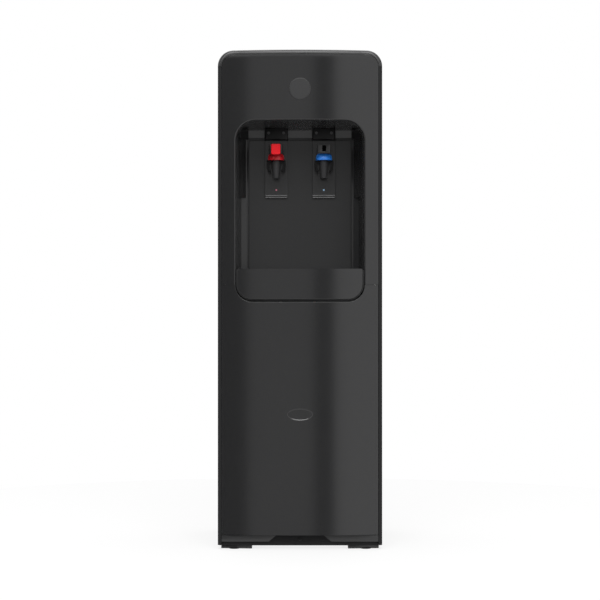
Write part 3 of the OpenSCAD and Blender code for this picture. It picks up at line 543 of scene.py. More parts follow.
def turned(name, x, y, rings, sides=48):
    """A turned piece, raised ring by ring from its lowest face and left in edit mode."""
    bpy.ops.object.select_all(action="DESELECT")
    bpy.ops.mesh.primitive_circle_add(vertices=sides, radius=rings[0][0], fill_type="NGON",
                                      location=(x, y, rings[0][1]))
    piece = just_added(name)
    bpy.ops.object.mode_set(mode="EDIT")
    bpy.ops.mesh.select_mode(type="FACE")
    take_all()
    for (wide, low), (next_wide, high) in zip(rings, rings[1:]):
        draw_out(0, 0, high - low)
        resize(next_wide / wide, next_wide / wide, 1)
    face_outward()
    return piece


for row, y in (("front", -0.1387), ("rear", 0.120)):
    for hand, side in hands:
        body = f"foot_{row}_{side}"
        foot = turned(body + "_disc", foot_across * hand, y, [(0.0104, 0), (0.0108, 0.0004), (0.0121, 0.002),
                                                              (0.0119, 0.0024)], 72)
        pick("FACE", lambda p, n: 0.0004 < p.z < 0.002 and int(round(math.degrees(math.atan2(
            p.y - y, p.x - foot_across * hand)) / 5 + 0.5)) % 3 == 0)
        inset(0.0001, -0.0004)
        set_down(foot, foot_rubber, body, body)
        stud = turned(body + "_stud", foot_across * hand, y, [(stud_radius, 0.0022)] + [
            (stud_radius - (0.0005 if i % 2 else 0), 0.003 + 0.00065 * i) for i in range(59)]
            + [(stud_radius - 0.0008, 0.0418)], 32)
        set_down(stud, stud_zinc, body)


# ---- Plinth: the band under the lower panel, with its shallow arch ----
# Moulded; its gloss strip stands in front of a matt back plate that shows in the arch, with one fixing screw.
plinth_half = 0.153
plinth_front = -0.1575
plinth_step = -0.152
plinth_rear = -0.146
plinth_low = 0.0072
strip_low = 0.0154
strip_top = 0.0280
arch_low_half = 0.061
arch_top_half = 0.046
matt_plastic = coat("plinth_matt", grey(27), grey(31), 800, 0.6, bump=0.05, specular=0.15)
strip_plastic = coat("plinth_gloss", grey(37), grey(40), 700, 0.3, bump=0.015)
back_plate = slab("plinth_back", -plinth_half, plinth_half, plinth_step, plinth_rear, plinth_low, strip_top)
soften(back_plate, 0.0005)
set_down(back_plate, matt_plastic, "cabinet", "plinth")
for hand, side in hands:
    x0, x1 = sorted((arch_top_half * hand, plinth_half * hand))
    strip = slab("plinth_strip_" + side, x0, x1, plinth_front, plinth_step + hair, strip_low, strip_top)
    pick("VERT", lambda p: abs(p.x) < arch_top_half + hair and p.z < strip_low + hair)
    push((arch_low_half - arch_top_half) * hand, 0, 0)
    soften(strip, 0.0002)
    set_down(strip, strip_plastic, "cabinet")


# ---- Case screws: the rear panels' and the plinth's ----
# Zinc-plated pan heads with a plain round recess; the one in the plinth's arch is blackened.
rear_face = 0.150
case_screw_x = 0.1541
case_screw_heights = (0.045, 0.290, 0.540, 0.575, 0.750, 0.925)
screw_zinc = zinc_coat("screw_zinc", (0.42, 0.42, 0.41), (0.60, 0.59, 0.56), 1200, 0.3)
screw_black = coat("screw_blackened", grey(16), grey(22), 1500, 0.5, bump=0.05, specular=0.3)


def pan_screw(name, x, z, face, toward, finish):
    """A pan-head screw whose head stands on a face and looks towards -Y (-1) or +Y (1)."""
    shank = 0.0065
    screw = turned(name, 0, 0, [(0.0014, 0), (0.0015, 0.0005), (0.0015, shank), (0.0034, shank),
                                (0.0034, shank + 0.0009), (0.0031, shank + 0.0015), (0.0024, shank + 0.0019),
                                (0.0012, shank + 0.002)], 32)
    pick("FACE", lambda p, n: n.z > 0.9 and p.z > shank + 0.0019)
    inset(0.0005, 0)
    draw_out(0, 0, -0.0011)
    screw.location = (x, face - toward * shank, z)
    screw.rotation_euler = (math.pi / 2 * -toward, 0, 0)
    return set_down(screw, finish, "cabinet")


places = [(case_screw_x * hand, z) for hand, side in hands for z in case_screw_heights]
for number, (x, z) in enumerate(places, 1):
    pan_screw(f"rear_screw_{number:02d}", x, z, rear_face, 1, screw_zinc)
plinth_screw = pan_screw("plinth_screw", 0, 0.019, plinth_step, -1, screw_black)
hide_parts("case_screws")


# ---- Compressor: a black hermetic pot on rubber grommets, with its copper lines ----
# Two pressed steel shells welded into one, enamelled black and bolted to the base pan through four grommets.
# The brazed copper lines run to the condenser and up to the cold tank.
def bare_metal(name, dull, bright, grain, roughness, stretch=(1, 1, 1)):
    """Uncoated metal: tone and sheen vary along its grain."""
    finish, tree, skin = new_finish(name, {"Metallic": 1})
    place = add_node(tree, "ShaderNodeTexCoord").outputs["Object"]
    along = add_node(tree, "ShaderNodeMapping", {"Scale": stretch}, {"Vector": place}).outputs["Vector"]
    streaks = add_node(tree, "ShaderNodeTexNoise", {"Scale": grain, "Detail": 3}, {"Vector": along}).outputs["Fac"]
    tree.links.new(ramp(tree, streaks, dull, bright, 0.3, 0.7), skin.inputs["Base Color"])
    tree.links.new(drift(tree, streaks, roughness, 0.07), skin.inputs["Roughness"])
    return finish


black_enamel = coat("black_enamel", grey(16), grey(24), 90, 0.22, bump=0.05, uneven=0.06)
grommet_rubber = coat("grommet_rubber", grey(20), grey(28), 1100, 0.75, bump=0.15, specular=0.25)
copper_tube = bare_metal("copper_tube", (0.60, 0.24, 0.12), (0.78, 0.36, 0.20), 60, 0.28)
eased("compressor", "compressor_pot", black_enamel, 0.0006)
eased("compressor_mounts", "compressor_grommets", grommet_rubber, 0.0008)
eased("refrigerant_lines", "copper_lines", copper_tube, 0)


# ---- Tanks on their shelf, in foam jackets ----
# The cold and the hot tank are welded stainless cans. Each sits in a split jacket of moulded foam on a folded
# zinc-coated shelf behind the bay.
stainless_can = bare_metal("stainless_can", (0.52, 0.52, 0.51), (0.66, 0.66, 0.65), 260, 0.26, stretch=(1, 1, 14))
foam_jacket = coat("foam_jacket", (0.62, 0.58, 0.44), (0.76, 0.72, 0.58), 420, 0.9, bump=0.7, specular=0.1, detail=4.0)
eased("tank_shelf", "tank_shelf_sheet", galvanised, 0.0003)
eased("cold_tank", "cold_tank_can", stainless_can, 0)
eased("hot_tank", "hot_tank_can", stainless_can, 0)
eased("cold_insulation", "cold_tank_jacket", foam_jacket, 0.003)
eased("hot_insulation", "hot_tank_jacket", foam_jacket, 0.003)


# ---- Water path: inlet valve, filter, tubes and drain ----
# White moulded fittings and polyethylene tube, pushed together. The valve's port and the drain's spigot come out
# through the lower rear panel, and the filter twists off its head inside.
white_moulding = coat("white_moulding", (0.66, 0.67, 0.66), (0.74, 0.75, 0.74), 500, 0.38, bump=0.03, specular=0.45)
filter_shell = coat("filter_shell", (0.60, 0.66, 0.72), (0.68, 0.73, 0.79), 300, 0.28, bump=0.02)
tube_wall = coat("tube_polyethylene", (0.70, 0.70, 0.68), (0.80, 0.80, 0.78), 200, 0.32, bump=0.02, specular=0.4)
cap_plastic = coat("drain_cap_pp", grey(44), grey(52), 700, 0.45, bump=0.05, specular=0.4)
eased("inlet_valve", "inlet_solenoid_valve", white_moulding, 0.001)
eased("filter_head", "filter_head_and_bracket", white_moulding, 0.001)
eased("filter_cartridge", "twist_off_filter", filter_shell, 0.001, "filter_cartridge")
eased("water_tubes", "water_tube_runs", tube_wall, 0)
eased("drain_spigot", "drain_spigot_and_flange", white_moulding, 0.0006)
eased("drain_cap", "drain_screw_cap", cap_plastic, 0.0005, "drain_cap")


# ---- Rear panels: two slotted sheets that close the back ----
# 1.2 mm steel with pressed air slots, powder coated like the sides and screwed to their rear folds.
rear_paint = coat("rear_powder_coat", grey(34), grey(39), 1300, 0.46, bump=0.12, specular=0.45, uneven=0.04)
eased("rear_upper_panel", "rear_upper_sheet", rear_paint, 0.0003)
eased("rear_lower_panel", "rear_lower_sheet", rear_paint, 0.0003)


# ---- Condenser: a black wire-on-tube grid on four brackets ----
# A steel tube bent to and fro with thin wires spot welded on both sides, painted black as one piece. Its
# brackets also keep the cooler off the wall.
condenser_paint = coat("condenser_paint", grey(20), grey(27), 500, 0.4, bump=0.08, specular=0.45)
eased("condenser_brackets", "condenser_stand_offs", galvanised, 0.0006)
eased("condenser_tube", "condenser_serpentine", condenser_paint, 0)
eased("condenser_wires", "condenser_wire_grid", condenser_paint, 0)


# ---- Mains inlet, switches and thermostat ----
# A three-pole inlet and a plate with a red and a blue rocker and the thermostat's knob, snapped into the rear panels.
socket_plastic = coat("socket_polyamide", grey(24), grey(30), 900, 0.5, bump=0.08, specular=0.35)
pin_metal = bare_metal("nickel_pin", (0.62, 0.60, 0.55), (0.74, 0.72, 0.66), 400, 0.2, stretch=(1, 6, 1))
rocker_red = coat("rocker_red", (0.50, 0.012, 0.014), (0.58, 0.018, 0.02), 500, 0.22, bump=0.02)
rocker_blue = coat("rocker_blue", (0.012, 0.075, 0.34), (0.018, 0.095, 0.40), 500, 0.22, bump=0.02)
eased("mains_inlet", "mains_inlet_socket", socket_plastic, 0.0005)
eased("mains_pins", "mains_inlet_pins", pin_metal, 0.0003)
eased("switch_plate", "switch_plate_moulding", socket_plastic, 0.0005)
eased("hot_rocker", "hot_switch_rocker", rocker_red, 0.0004, "hot_rocker")
eased("cold_rocker", "cold_switch_rocker", rocker_blue, 0.0004, "cold_rocker")


def add_block(x0, x1, y0, y1, z0, z1):
    """In edit mode, adds a block to the piece."""
    bpy.ops.mesh.primitive_cube_add(size=1, location=((x0 + x1) / 2, (y0 + y1) / 2, (z0 + z1) / 2),
                                    scale=(x1 - x0, y1 - y0, z1 - z0))


knob_x = 0.115
knob_z = 0.890
knob_radius = 0.008
shaft_length = 0.0118
knob_plastic = coat("knob_abs", grey(40), grey(46), 700, 0.32, bump=0.04)
knob = turned("thermostat_dial", 0, 0, [(0.003, -shaft_length), (0.003, 0.0024), (knob_radius, 0.0024),
                                        (knob_radius, 0.0092), (knob_radius - 0.001, 0.0104),
                                        (knob_radius - 0.0016, 0.0108)], 48)
pick("FACE", lambda p, n: 0.004 < p.z < 0.009 and abs(n.z) < 0.1
     and int(round(math.degrees(math.atan2(p.y, p.x)) / 7.5 + 0.5)) % 2 == 0)
inset(0.00008, -0.0003, apart=True)
add_block(-0.0005, 0.0005, 0.0012, knob_radius - 0.002, 0.0102, 0.0113)
knob.location = (knob_x, rear_face - shaft_length, knob_z)
knob.rotation_euler = (-math.pi / 2, 0, 0)
set_down(knob, knob_plastic, "thermostat_knob", "thermostat_knob")


# ---- Upper fascia: an inverted U of bowed moulding round the bay ----
# ABS, injection moulded in one piece with its rolled top edge and the soft edge of the bay's opening, and left
# with the mould's semi-gloss skin. It clips into the shell from the front and its lower ends stand on the seam.
bow_radius = 0.98648
front = -0.170
panel_half = 0.153
panel_corner = 0.0235
seam_height = 0.516
fascia_low = seam_height + 0.0004
fascia_top = 0.9649
bay_half = 0.1259
bay_top = 0.837
bay_low = 0.4827
bay_top_corner = 0.039
bay_low_corner = 0.033
roll_start = 0.9556
roll_depth = 0.0003
strip_width = 0.004
moulding_depth = 0.010
fascia_lip = 0.0022
fascia_edge = 0.0003
badge_height = 0.8975
badge_radius = 0.021
fascia_plastic = coat("fascia_abs", grey(37), grey(40), 700, 0.13, bump=0.015, uneven=0.015)


def along_bow(x):
    """How far a place on the bowed front lies from its middle, measured along the bow."""
    return bow_radius * math.asin(x / bow_radius)


def bow_out(piece, half):
    """Cuts a flat piece into upright strips and bends it round the bowed front, about an upright axis behind it."""
    strips = int(half / strip_width)
    cut_across((1, 0, 0), *(i * strip_width for i in range(-strips, strips + 1)))
    bpy.ops.object.mode_set(mode="OBJECT")
    shaped(piece, "SIMPLE_DEFORM", "bow", deform_method="BEND", deform_axis="Z",
           angle=piece.dimensions.x / bow_radius)


def cut_opening(edge, wanted):
    """In edit mode, cuts the bay's opening out of a flat blank, and leaves one flat face."""
    cut_across((1, 0, 0), opening_half, -opening_half)
    cut_across((0, 0, 1), edge)
    drop_faces(wanted)
    take_all()
    bpy.ops.mesh.dissolve_limited(angle_limit=0.01)


def round_block(name, radius, depth, centre, sides=32):
    """A round block that faces the front, left in edit mode."""
    bpy.ops.object.select_all(action="DESELECT")
    bpy.ops.mesh.primitive_cylinder_add(vertices=sides, radius=radius, depth=depth, location=centre,
                                        rotation=upright)
    piece = just_added(name)
    bpy.ops.object.transform_apply()
    bpy.ops.object.mode_set(mode="EDIT")
    return piece


panel_reach = along_bow(panel_half)
opening_half = along_bow(bay_half)
fascia = blank("upper_fascia_front", panel_reach, fascia_low, fascia_top, front)
cut_opening(bay_top, lambda p, n: abs(p.x) < opening_half and p.z < bay_top)
round_corners(panel_corner, 12, lambda p: abs(p.x) > 0.15 and p.z > 0.96)
round_corners(bay_top_corner, 16, lambda p: abs(p.x) < 0.13 and abs(p.z - bay_top) < 0.001)
press_back(moulding_depth)


def on_opening(p, d):
    """True on the front edge of the bay's opening."""
    return (p.y < front + hair and abs(d.y) < 0.1 and abs(p.x) < opening_half + hair
            and bay_low - hair < p.z < bay_top + hair)


pick("EDGE", lambda p, d: on_opening(p, d) and p.z > fascia_low + 0.001)
bevel(fascia_lip, 5)
pick("EDGE", lambda p, d: p.y < front + hair and abs(d.y) < 0.1
     and (abs(p.x) > panel_reach - hair or (p.z > 0.93 and abs(p.x) > 0.12)))
bevel(fascia_edge, 3)
cut_across((0, 0, 1), *(roll_start + i * 0.002 for i in range(5)))
heights = {round((fascia.matrix_world @ v.co).z, 5) for v in from_edit_mesh(fascia.data).verts}
for height in sorted(z for z in heights if z > roll_start + hair):
    back = roll_depth * ((height - roll_start) / (fascia_top - roll_start)) ** 2
    pick("VERT", lambda p: p.y < front + 0.0015 and abs(p.z - height) < 0.00001)
    push(0, back, 0)
bow_out(fascia, panel_reach)
pocket = round_block("pocket", badge_radius + 0.0002, 0.004, (0, front + 0.0014 - 0.002, badge_height), 96)
shaped(fascia, "BOOLEAN", "badge_pocket", operation="DIFFERENCE", object=pocket, solver="EXACT")
bpy.data.objects.remove(pocket)
set_down(fascia, fascia_plastic, "cabinet", "upper_fascia")
even_light(fascia)


# ---- Blank badge: a round plate let into the fascia ----
# A moulded disc with a fine raised rim, snapped into its pocket; it carries nothing.
badge_plastic = coat("badge_abs", grey(40), grey(43), 900, 0.28, bump=0.03)
badge = round_block("blank_badge", badge_radius, 0.0018, (0, front + 0.0009, badge_height), 96)
pick("FACE", lambda p, n: n.y < -0.9)
inset(0.0009, 0)
inset(0.0003, -0.0004)
pick("EDGE", lambda p, d: p.y < front + hair and abs(math.hypot(p.x, p.z - badge_height) - badge_radius) < hair)
bevel(0.0003, 2)
set_down(badge, badge_plastic, "cabinet", "badge_disc")


# ---- Lower panel: the bowed door under the bay ----
# The same moulding as the fascia, with a notch for the tray's front and a flat oval dish; one screw in the
# plinth holds its foot and two hooks hold its head.
dish_height = 0.264
dish_depth = 0.0012
dish_half_wide = 0.0236
dish_half_high = 0.0098
dish_wall = 0.0034
dish_reach = 0.0022
panel_low = 0.029
panel_lip = 0.0007
panel_edge = 0.001
panel = blank("lower_panel_front", panel_reach, panel_low, seam_height, front)
cut_opening(bay_low, lambda p, n: abs(p.x) < opening_half and p.z > bay_low)
round_corners(bay_low_corner, 16, lambda p: abs(p.x) < 0.13 and abs(p.z - bay_low) < 0.001)
press_back(moulding_depth)
pick("EDGE", lambda p, d: on_opening(p, d) and p.z < seam_height - 0.001)
bevel(panel_lip, 4)
pick("EDGE", lambda p, d: p.y < front + hair and abs(d.y) < 0.1 and abs(p.x) > panel_reach - hair)
bevel(panel_edge, 4)
bow_out(panel, panel_reach)
bpy.ops.object.select_all(action="DESELECT")
bpy.ops.mesh.primitive_circle_add(vertices=96, radius=1, fill_type="NGON", rotation=upright,
                                  location=(0, front + dish_depth, dish_height))
dish = bpy.context.object
dish.scale = (dish_half_wide, dish_half_high, 1)
bpy.ops.object.transform_apply()
bpy.ops.object.mode_set(mode="EDIT")
take_all()
draw_out(0, -dish_reach, 0)
resize(1 + dish_wall / dish_half_wide, 1, 1 + dish_wall / dish_half_high)
face_outward()
shaped(panel, "BOOLEAN", "oval_dish", operation="DIFFERENCE", object=dish, solver="EXACT")
bpy.data.objects.remove(dish)
set_down(panel, fascia_plastic, "cabinet", "lower_panel", sharp=25)
even_light(panel)


# ---- Bay liner: the niche behind the fascia ----
# One moulding whose rear corners narrow in steps, with a ceiling that falls towards the rear and a sloped band where
# it meets the rear wall. It is screwed to the back of the fascia, and the taps' shanks hold it from behind.
liner_half = 0.125
liner_rear_half = 0.1185
liner_floor = 0.4852
liner_top = 0.836
liner_front = -0.153
liner_rear = -0.019
liner_drop = 0.0065
liner_band_low = 0.8153
liner_band_run = 0.005
liner_corner = 0.037
liner_rear_corner = 0.004
liner_floor_corner = 0.030
liner_facet_half = 0.1043
liner_facet_depth = 0.0045
liner_step_low = 0.693
liner_step_top = 0.811
liner_step_slope = 0.0004
liner_step_run = 0.026
liner_wall = 0.0022
bay_plastic = coat("bay_liner_abs", grey(44), grey(47), 500, 0.24, bump=0.005, specular=0.4, uneven=0.02)
liner = slab("bay_niche", -liner_half, liner_half, liner_front, liner_rear, liner_floor, liner_top)
pick("VERT", lambda p: p.y > liner_rear - hair)
resize(liner_rear_half / liner_half, 1, 1)
pick("VERT", lambda p: p.y > liner_rear - hair and p.z > liner_top - hair)
push(0, 0, -liner_drop)
pick("EDGE", lambda p, d: abs(d.y) > 0.9 and p.z > 0.8)
bevel(liner_corner, 12)
tighter = liner_rear_corner / liner_corner
for hand, side in hands:
    corner = (liner_rear_half * hand, liner_rear, liner_top - liner_drop)
    pick("VERT", lambda p: p.y > liner_rear - hair and p.z > corner[2] - 0.04 and p.x * hand > liner_rear_half - 0.04)
    resize(tighter, 1, tighter, center_override=corner)
pick("EDGE", lambda p, d: abs(d.y) > 0.9 and p.z < 0.5)
bevel(liner_floor_corner, 8)
cut_at((0, liner_rear, liner_band_low), (0, liner_top - liner_drop - liner_band_low, liner_band_run),
       keep="behind", fill=True)
steps = [liner_step_low, liner_step_low + liner_step_slope, liner_step_top, liner_step_top + liner_step_slope]
cut_across((0, 1, 0), liner_rear - liner_step_run)
cut_across((0, 0, 1), *steps)
for hand, side in hands:
    cut_at((liner_facet_half * hand, liner_rear, 0.7),
           (liner_facet_depth * hand, liner_rear_half - liner_facet_half, 0), keep="behind", fill=True)
    for low, high, kept in ((steps[1], steps[2], (0.36, 0.36, 1)), (steps[3], 1, (0, 1, 1))):
        pick("VERT", lambda p: p.x * hand > liner_facet_half + 0.0002 and p.y > liner_rear - 0.02
             and low - hair < p.z < high + hair)
        resize(*kept, center_override=(liner_facet_half * hand, liner_rear, 0.7))
drop_faces(lambda p, n: p.y < liner_front + hair)
take_all()
bpy.ops.mesh.remove_doubles(threshold=0.00002)
cut_across((1, 0, 0), *(i * 0.012 for i in range(-10, 11)))
columns = sorted({round(v.co.x, 6) for v in from_edit_mesh(liner.data).verts if v.co.y < liner_front + hair})
for x in columns:
    forward = math.sqrt(bow_radius ** 2 - x ** 2) - math.sqrt(bow_radius ** 2 - liner_half ** 2)
    pick("VERT", lambda p: abs(p.x - x) < 0.00001 and p.y < liner_front + hair)
    if forward > 0.00005:
        push(0, -forward, 0)
take_all()
bpy.ops.mesh.normals_make_consistent(inside=True)
shaped(liner, "SOLIDIFY", "wall", thickness=liner_wall, offset=-1)
set_down(liner, bay_plastic, "cabinet", "bay_liner", sharp=14)
even_light(liner)


# ---- Rear plate, tap bezels, hoods and signal lamps ----
# A flat insert covers the bay's rear wall. On it stand the two bezels, with three ribs at the foot and a lamp
# above them, and over each bezel a black hood with two screws.
plate_half = 0.1033
plate_rear = -0.0192
plate_front = -0.022
plate_low = 0.549
plate_top = 0.8096
hot_x = -0.048
cold_x = 0.048
taps = (("hot", hot_x), ("cold", cold_x))
bezel_half = 0.0233
bezel_low = 0.6925
bezel_front = -0.028
lamp_height = 0.709
plate_plastic = coat("rear_plate_abs", grey(41), grey(44), 500, 0.16, bump=0.015, uneven=0.02)
bezel_plastic = coat("bezel_abs", grey(45), grey(48), 500, 0.16, bump=0.015)
hood_plastic = coat("hood_abs", grey(21), grey(24), 600, 0.4, bump=0.03, specular=0.25)
screw_steel = coat("blackened_screw", grey(62), grey(80), 1500, 0.45, bump=0.05)


def cold_twin(piece, name):
    """The cold tap's piece, like the hot tap's, with its own mesh."""
    twin = copy_of(piece, name)
    push(cold_x - hot_x, 0, 0)
    bpy.ops.object.mode_set(mode="OBJECT")
    twin.select_set(False)
    return twin


plate = slab("rear_plate", -plate_half, plate_half, plate_front, plate_rear, plate_low, plate_top)
pick("EDGE", lambda p, d: abs(d.y) > 0.9)
bevel(0.004, 5)
pick("EDGE", lambda p, d: p.y < plate_front + hair)
bevel(0.0006, 3)
set_down(plate, plate_plastic, "cabinet", "bay_back_plate")
even_light(plate)

bezel = slab("hot_bezel", hot_x - bezel_half, hot_x + bezel_half, bezel_front, plate_front, bezel_low, plate_top)
pick("EDGE", lambda p, d: abs(d.y) > 0.9)
bevel(0.003, 4)
pick("EDGE", lambda p, d: p.y < bezel_front + hair)
bevel(0.0008, 3)
for rib_low, rib_high, rib_out in ((0.6933, 0.6946, 0.00035), (0.6974, 0.6987, 0.00035), (0.7018, 0.7027, 0.0001)):
    crest = rib_low + 0.0003
    cut_across((0, 0, 1), rib_low, crest, rib_high)
    pick("VERT", lambda p: abs(p.z - crest) < 0.00002 and p.y < bezel_front + hair)
    push(0, -rib_out, 0)
set_down(bezel, bezel_plastic, "cabinet", "tap_bezels")
even_light(bezel)
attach(cold_twin(bezel, "cold_bezel"), "cabinet")

header_front = -0.048
header_low = 0.810
header_top = 0.8293
header_rear = -0.0192
header_screw_height = 0.8226
header_screw_pitch = 0.015
hood = slab("hot_hood", hot_x - bezel_half, hot_x + bezel_half, header_front, header_rear, header_low, header_top)
cut_at((0, header_rear, liner_band_low), (0, header_top - liner_band_low, liner_band_run), keep="behind", fill=True)
pick("VERT", lambda p: p.y < header_front + hair and p.z > header_top - hair)
push(0, 0, 0.0012)
pick("EDGE", lambda p, d: abs(d.z) > 0.9 and p.y < header_front + hair)
bevel(0.003, 4)
soften(hood, 0.0004)
set_down(hood, hood_plastic, "cabinet", "tap_headers")
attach(cold_twin(hood, "cold_hood"), "cabinet")

for water, place in taps:
    for hand, side in hands:
        screw = round_block(f"{water}_hood_screw_{side}", 0.0029, 0.0022,
                            (place + header_screw_pitch * hand, header_front - 0.0002, header_screw_height))
        pick("FACE", lambda p, n: n.y < -0.9)
        inset(0.0013, 0)
        inset(0.0001, -0.0008)
        soften(screw, 0.0003, 2)
        set_down(screw, screw_steel, "cabinet", *(("header_screws",) if water == "hot" and hand < 0 else ()))


def lamp_finish(name, glass, glow):
    """A clear dome over a dim signal light: brightest where the dome faces outwards."""
    finish, tree, skin = new_finish(name, {"Roughness": 0.2, "Emission Strength": 0.55})
    lens = add_node(tree, "ShaderNodeLayerWeight", {"Blend": 0.35})
    shade = ramp(tree, lens.outputs["Facing"], glow, glass)
    tree.links.new(shade, skin.inputs["Base Color"])
    tree.links.new(shade, skin.inputs["Emission Color"])
    return finish


lamp_tones = {"hot": ((0.10, 0.01, 0.02), (0.30, 0.10, 0.13)), "cold": ((0.02, 0.06, 0.12), (0.18, 0.30, 0.42))}
for water, place in taps:
    lamp = round_block(water + "_signal_lamp", 0.0019, 0.008, (place, bezel_front + 0.0036, lamp_height))
    pick("EDGE", lambda p, d: p.y < bezel_front - 0.0003)
    bevel(0.0007, 4)
    set_down(lamp, lamp_finish(water + "_lamp_lens", *lamp_tones[water]), "cabinet", water + "_lamp", sharp=60)


# ---- Taps: bodies with nozzle and side ears, and the coloured bonnets ----
# Each body is one black acetal moulding, held by its threaded shank through the liner and a nut behind it. The
# bonnet screws down on it, red for hot and blue for cold, and carries the lever's pin. Two ears guard the nozzle.
tap_y = -0.065
shank_height = 0.755
barrel_top = 0.766
ear_span = 0.0186
ear_half_depth = 0.006
tap_plastic = coat("tap_acetal", grey(50), grey(54), 700, 0.55, bump=0.03, specular=0.25)
ear_plastic = coat("tap_ear_acetal", grey(15), grey(19), 700, 0.6, bump=0.03, specular=0.12)


def add_rod(radius, low, high, turn, sides=32):
    """In edit mode, adds a round rod between two ends along X or Y."""
    middle = tuple((a + b) / 2 for a, b in zip(low, high))
    bpy.ops.mesh.primitive_cylinder_add(vertices=sides, radius=radius, depth=math.dist(low, high), location=middle,
                                        rotation=turn)


along_x = (0, math.pi / 2, 0)
along_y = upright
for water, place in taps:
    tap = turned(water + "_tap", place, tap_y, [(0.0054, 0.730), (0.0062, 0.7308), (0.0066, 0.736), (0.0082, 0.750),
                                               (0.0085, 0.7635), (0.0085, barrel_top)])
    pick("FACE", lambda p, n: n.z < -0.9 and p.z < 0.7301)
    inset(0.0016, 0)
    draw_out(0, 0, 0.014)
    soften(tap, 0.0005)
    bpy.ops.object.mode_set(mode="EDIT")
    add_rod(0.006, (place, tap_y, shank_height), (place, -0.005, shank_height), along_y)
    add_rod(0.010, (place, -0.031, shank_height), (place, -0.028, shank_height), along_y, 48)
    set_down(tap, tap_plastic, "cabinet", *(("tap_bodies",) if water == "hot" else ()))

    ears = slab(water + "_tap_ears", place - ear_span, place + ear_span, tap_y - ear_half_depth, tap_y + ear_half_depth,
                barrel_top - 0.0025, barrel_top - hair)
    for hand in (-1, 1):
        middle = place + 0.0162 * hand
        add_block(middle - 0.0027, middle + 0.0027, tap_y - 0.004, tap_y + 0.004, shank_height, barrel_top - 0.001)
        pick("FACE", lambda p, n: n.z < -0.9 and abs(p.z - shank_height) < 0.00001 and abs(p.x - middle) < hair)
        bpy.ops.mesh.spin(steps=8, angle=math.radians(-46) * hand, center=(place, tap_y, shank_height),
                          axis=(0, 1, 0))
        resize(0.8, 0.8, 0.8)
    soften(ears, 0.0008)
    set_down(ears, ear_plastic, "cabinet")


bonnet_tones = {"hot": ((0.62, 0.012, 0.02), (0.70, 0.018, 0.028)), "cold": ((0.03, 0.24, 0.86), (0.045, 0.28, 0.92))}
lug_y = -0.056
pin_height = 0.786
lug_half = 0.0037
for water, place in taps:
    bonnet = turned(water + "_bonnet_cap", place, tap_y, [(0.0158, barrel_top), (0.0164, 0.7666), (0.0163, 0.7700),
                                                         (0.0158, 0.7735), (0.0148, 0.7762), (0.0138, 0.7777),
                                                         (0.0130, 0.7786), (0.0126, 0.7788)], 72)
    add_block(place - lug_half, place + lug_half, lug_y - 0.0045, lug_y + 0.0045, 0.7780, pin_height)
    add_rod(0.0045, (place - lug_half, lug_y, pin_height), (place + lug_half, lug_y, pin_height), along_x)
    bonnet_plastic = coat(water + "_bonnet_plastic", *bonnet_tones[water], 400, 0.3, bump=0.02)
    set_down(bonnet, bonnet_plastic, "cabinet", water + "_bonnet")


# ---- Levers and the hot lever's safety catch ----
# Black acetal levers, each turning on a steel pin in the bonnet's lug. The red catch has to be pushed in before the
# hot lever is pressed; its tongue runs in a slot in the lever's cap. A near-black matt plug in the cold lever's slot is
# painted shade: it stands in for the shadow deep inside the slot.
cap_front = -0.092
cap_rear = -0.086
cap_low = 0.778
lever_top = 0.7965
lever_half = 0.0136
slot_half = 0.0043
lever_plastic = coat("lever_acetal", grey(22), grey(26), 700, 0.35, bump=0.02, specular=0.35)
cold_lever_plastic = coat("cold_lever_acetal", grey(32), grey(36), 700, 0.35, bump=0.02, specular=0.4)
for water, place in taps:
    lever = slab(water + "_lever_handle", place - lever_half, place + lever_half, cap_front, cap_rear, cap_low,
                 lever_top)
    pick("EDGE", lambda p, d: abs(d.z) > 0.9 and p.y < cap_front + hair)
    bevel(0.002, 4)
    pick("EDGE", lambda p, d: abs(d.x) > 0.9 and p.y < cap_front + hair and p.z > lever_top - hair)
    bevel(0.0015, 4)
    slot_low, slot_high, slot_depth = (0.7867, 0.7953, 0.0056) if water == "hot" else (0.7815, 0.7948, 0.0045)
    cut_across((1, 0, 0), place - slot_half, place + slot_half)
    cut_across((0, 0, 1), slot_low, slot_high)
    pick("FACE", lambda p, n: n.y < -0.9 and abs(p.x - place) < slot_half and slot_low < p.z < slot_high)
    if water == "cold":
        inset(0.0006, -0.0004)
    draw_out(0, slot_depth, 0)
    soften(lever, 0.0003, 2)
    bpy.ops.object.mode_set(mode="EDIT")
    add_block(place - 0.009, place + 0.009, cap_rear - hair, -0.062, 0.788, 0.796)
    for hand in (-1, 1):
        add_block(place + 0.0065 * hand - 0.0024, place + 0.0065 * hand + 0.0024, -0.063, -0.050, 0.7816, 0.7959)
    set_down(lever, lever_plastic if water == "hot" else cold_lever_plastic, water + "_lever", water + "_lever")

catch_front = -0.100
catch_rear = -0.0955
catch_low = 0.7755
catch_half = 0.00925
catch_plastic = coat("catch_acetal", (0.90, 0.006, 0.014), (0.96, 0.009, 0.02), 500, 0.3, bump=0.02, specular=0.3)
catch = slab("hot_safety_catch", hot_x - catch_half, hot_x + catch_half, catch_front, catch_rear, catch_low, lever_top)
pick("EDGE", lambda p, d: abs(d.y) > 0.9)
bevel(0.0024, 6)
pick("EDGE", lambda p, d: p.y < catch_front + hair)
bevel(0.0014, 5)
add_block(hot_x - 0.004, hot_x + 0.004, catch_rear - hair, -0.0895, 0.787, 0.795)
set_down(catch, catch_plastic, "hot_catch", "hot_catch")
even_light(catch)

# Painted shade: a near-black, matt plug with no sheen, set inside the cold lever's slot so that the slot reads as deep
# shadow.
slot_shade_black = coat("slot_painted_shade", (0.0012, 0.0012, 0.0012), (0.002, 0.002, 0.002), 800, 0.9, specular=0)
plug = slab("cold_lever_slot_shade", cold_x - 0.0042, cold_x + 0.0042, cap_front + 0.0012, cap_front + 0.0044,
            0.7816, 0.7954)
soften(plug, 0.0003, 2)
set_down(plug, slot_shade_black, "cold_lever")


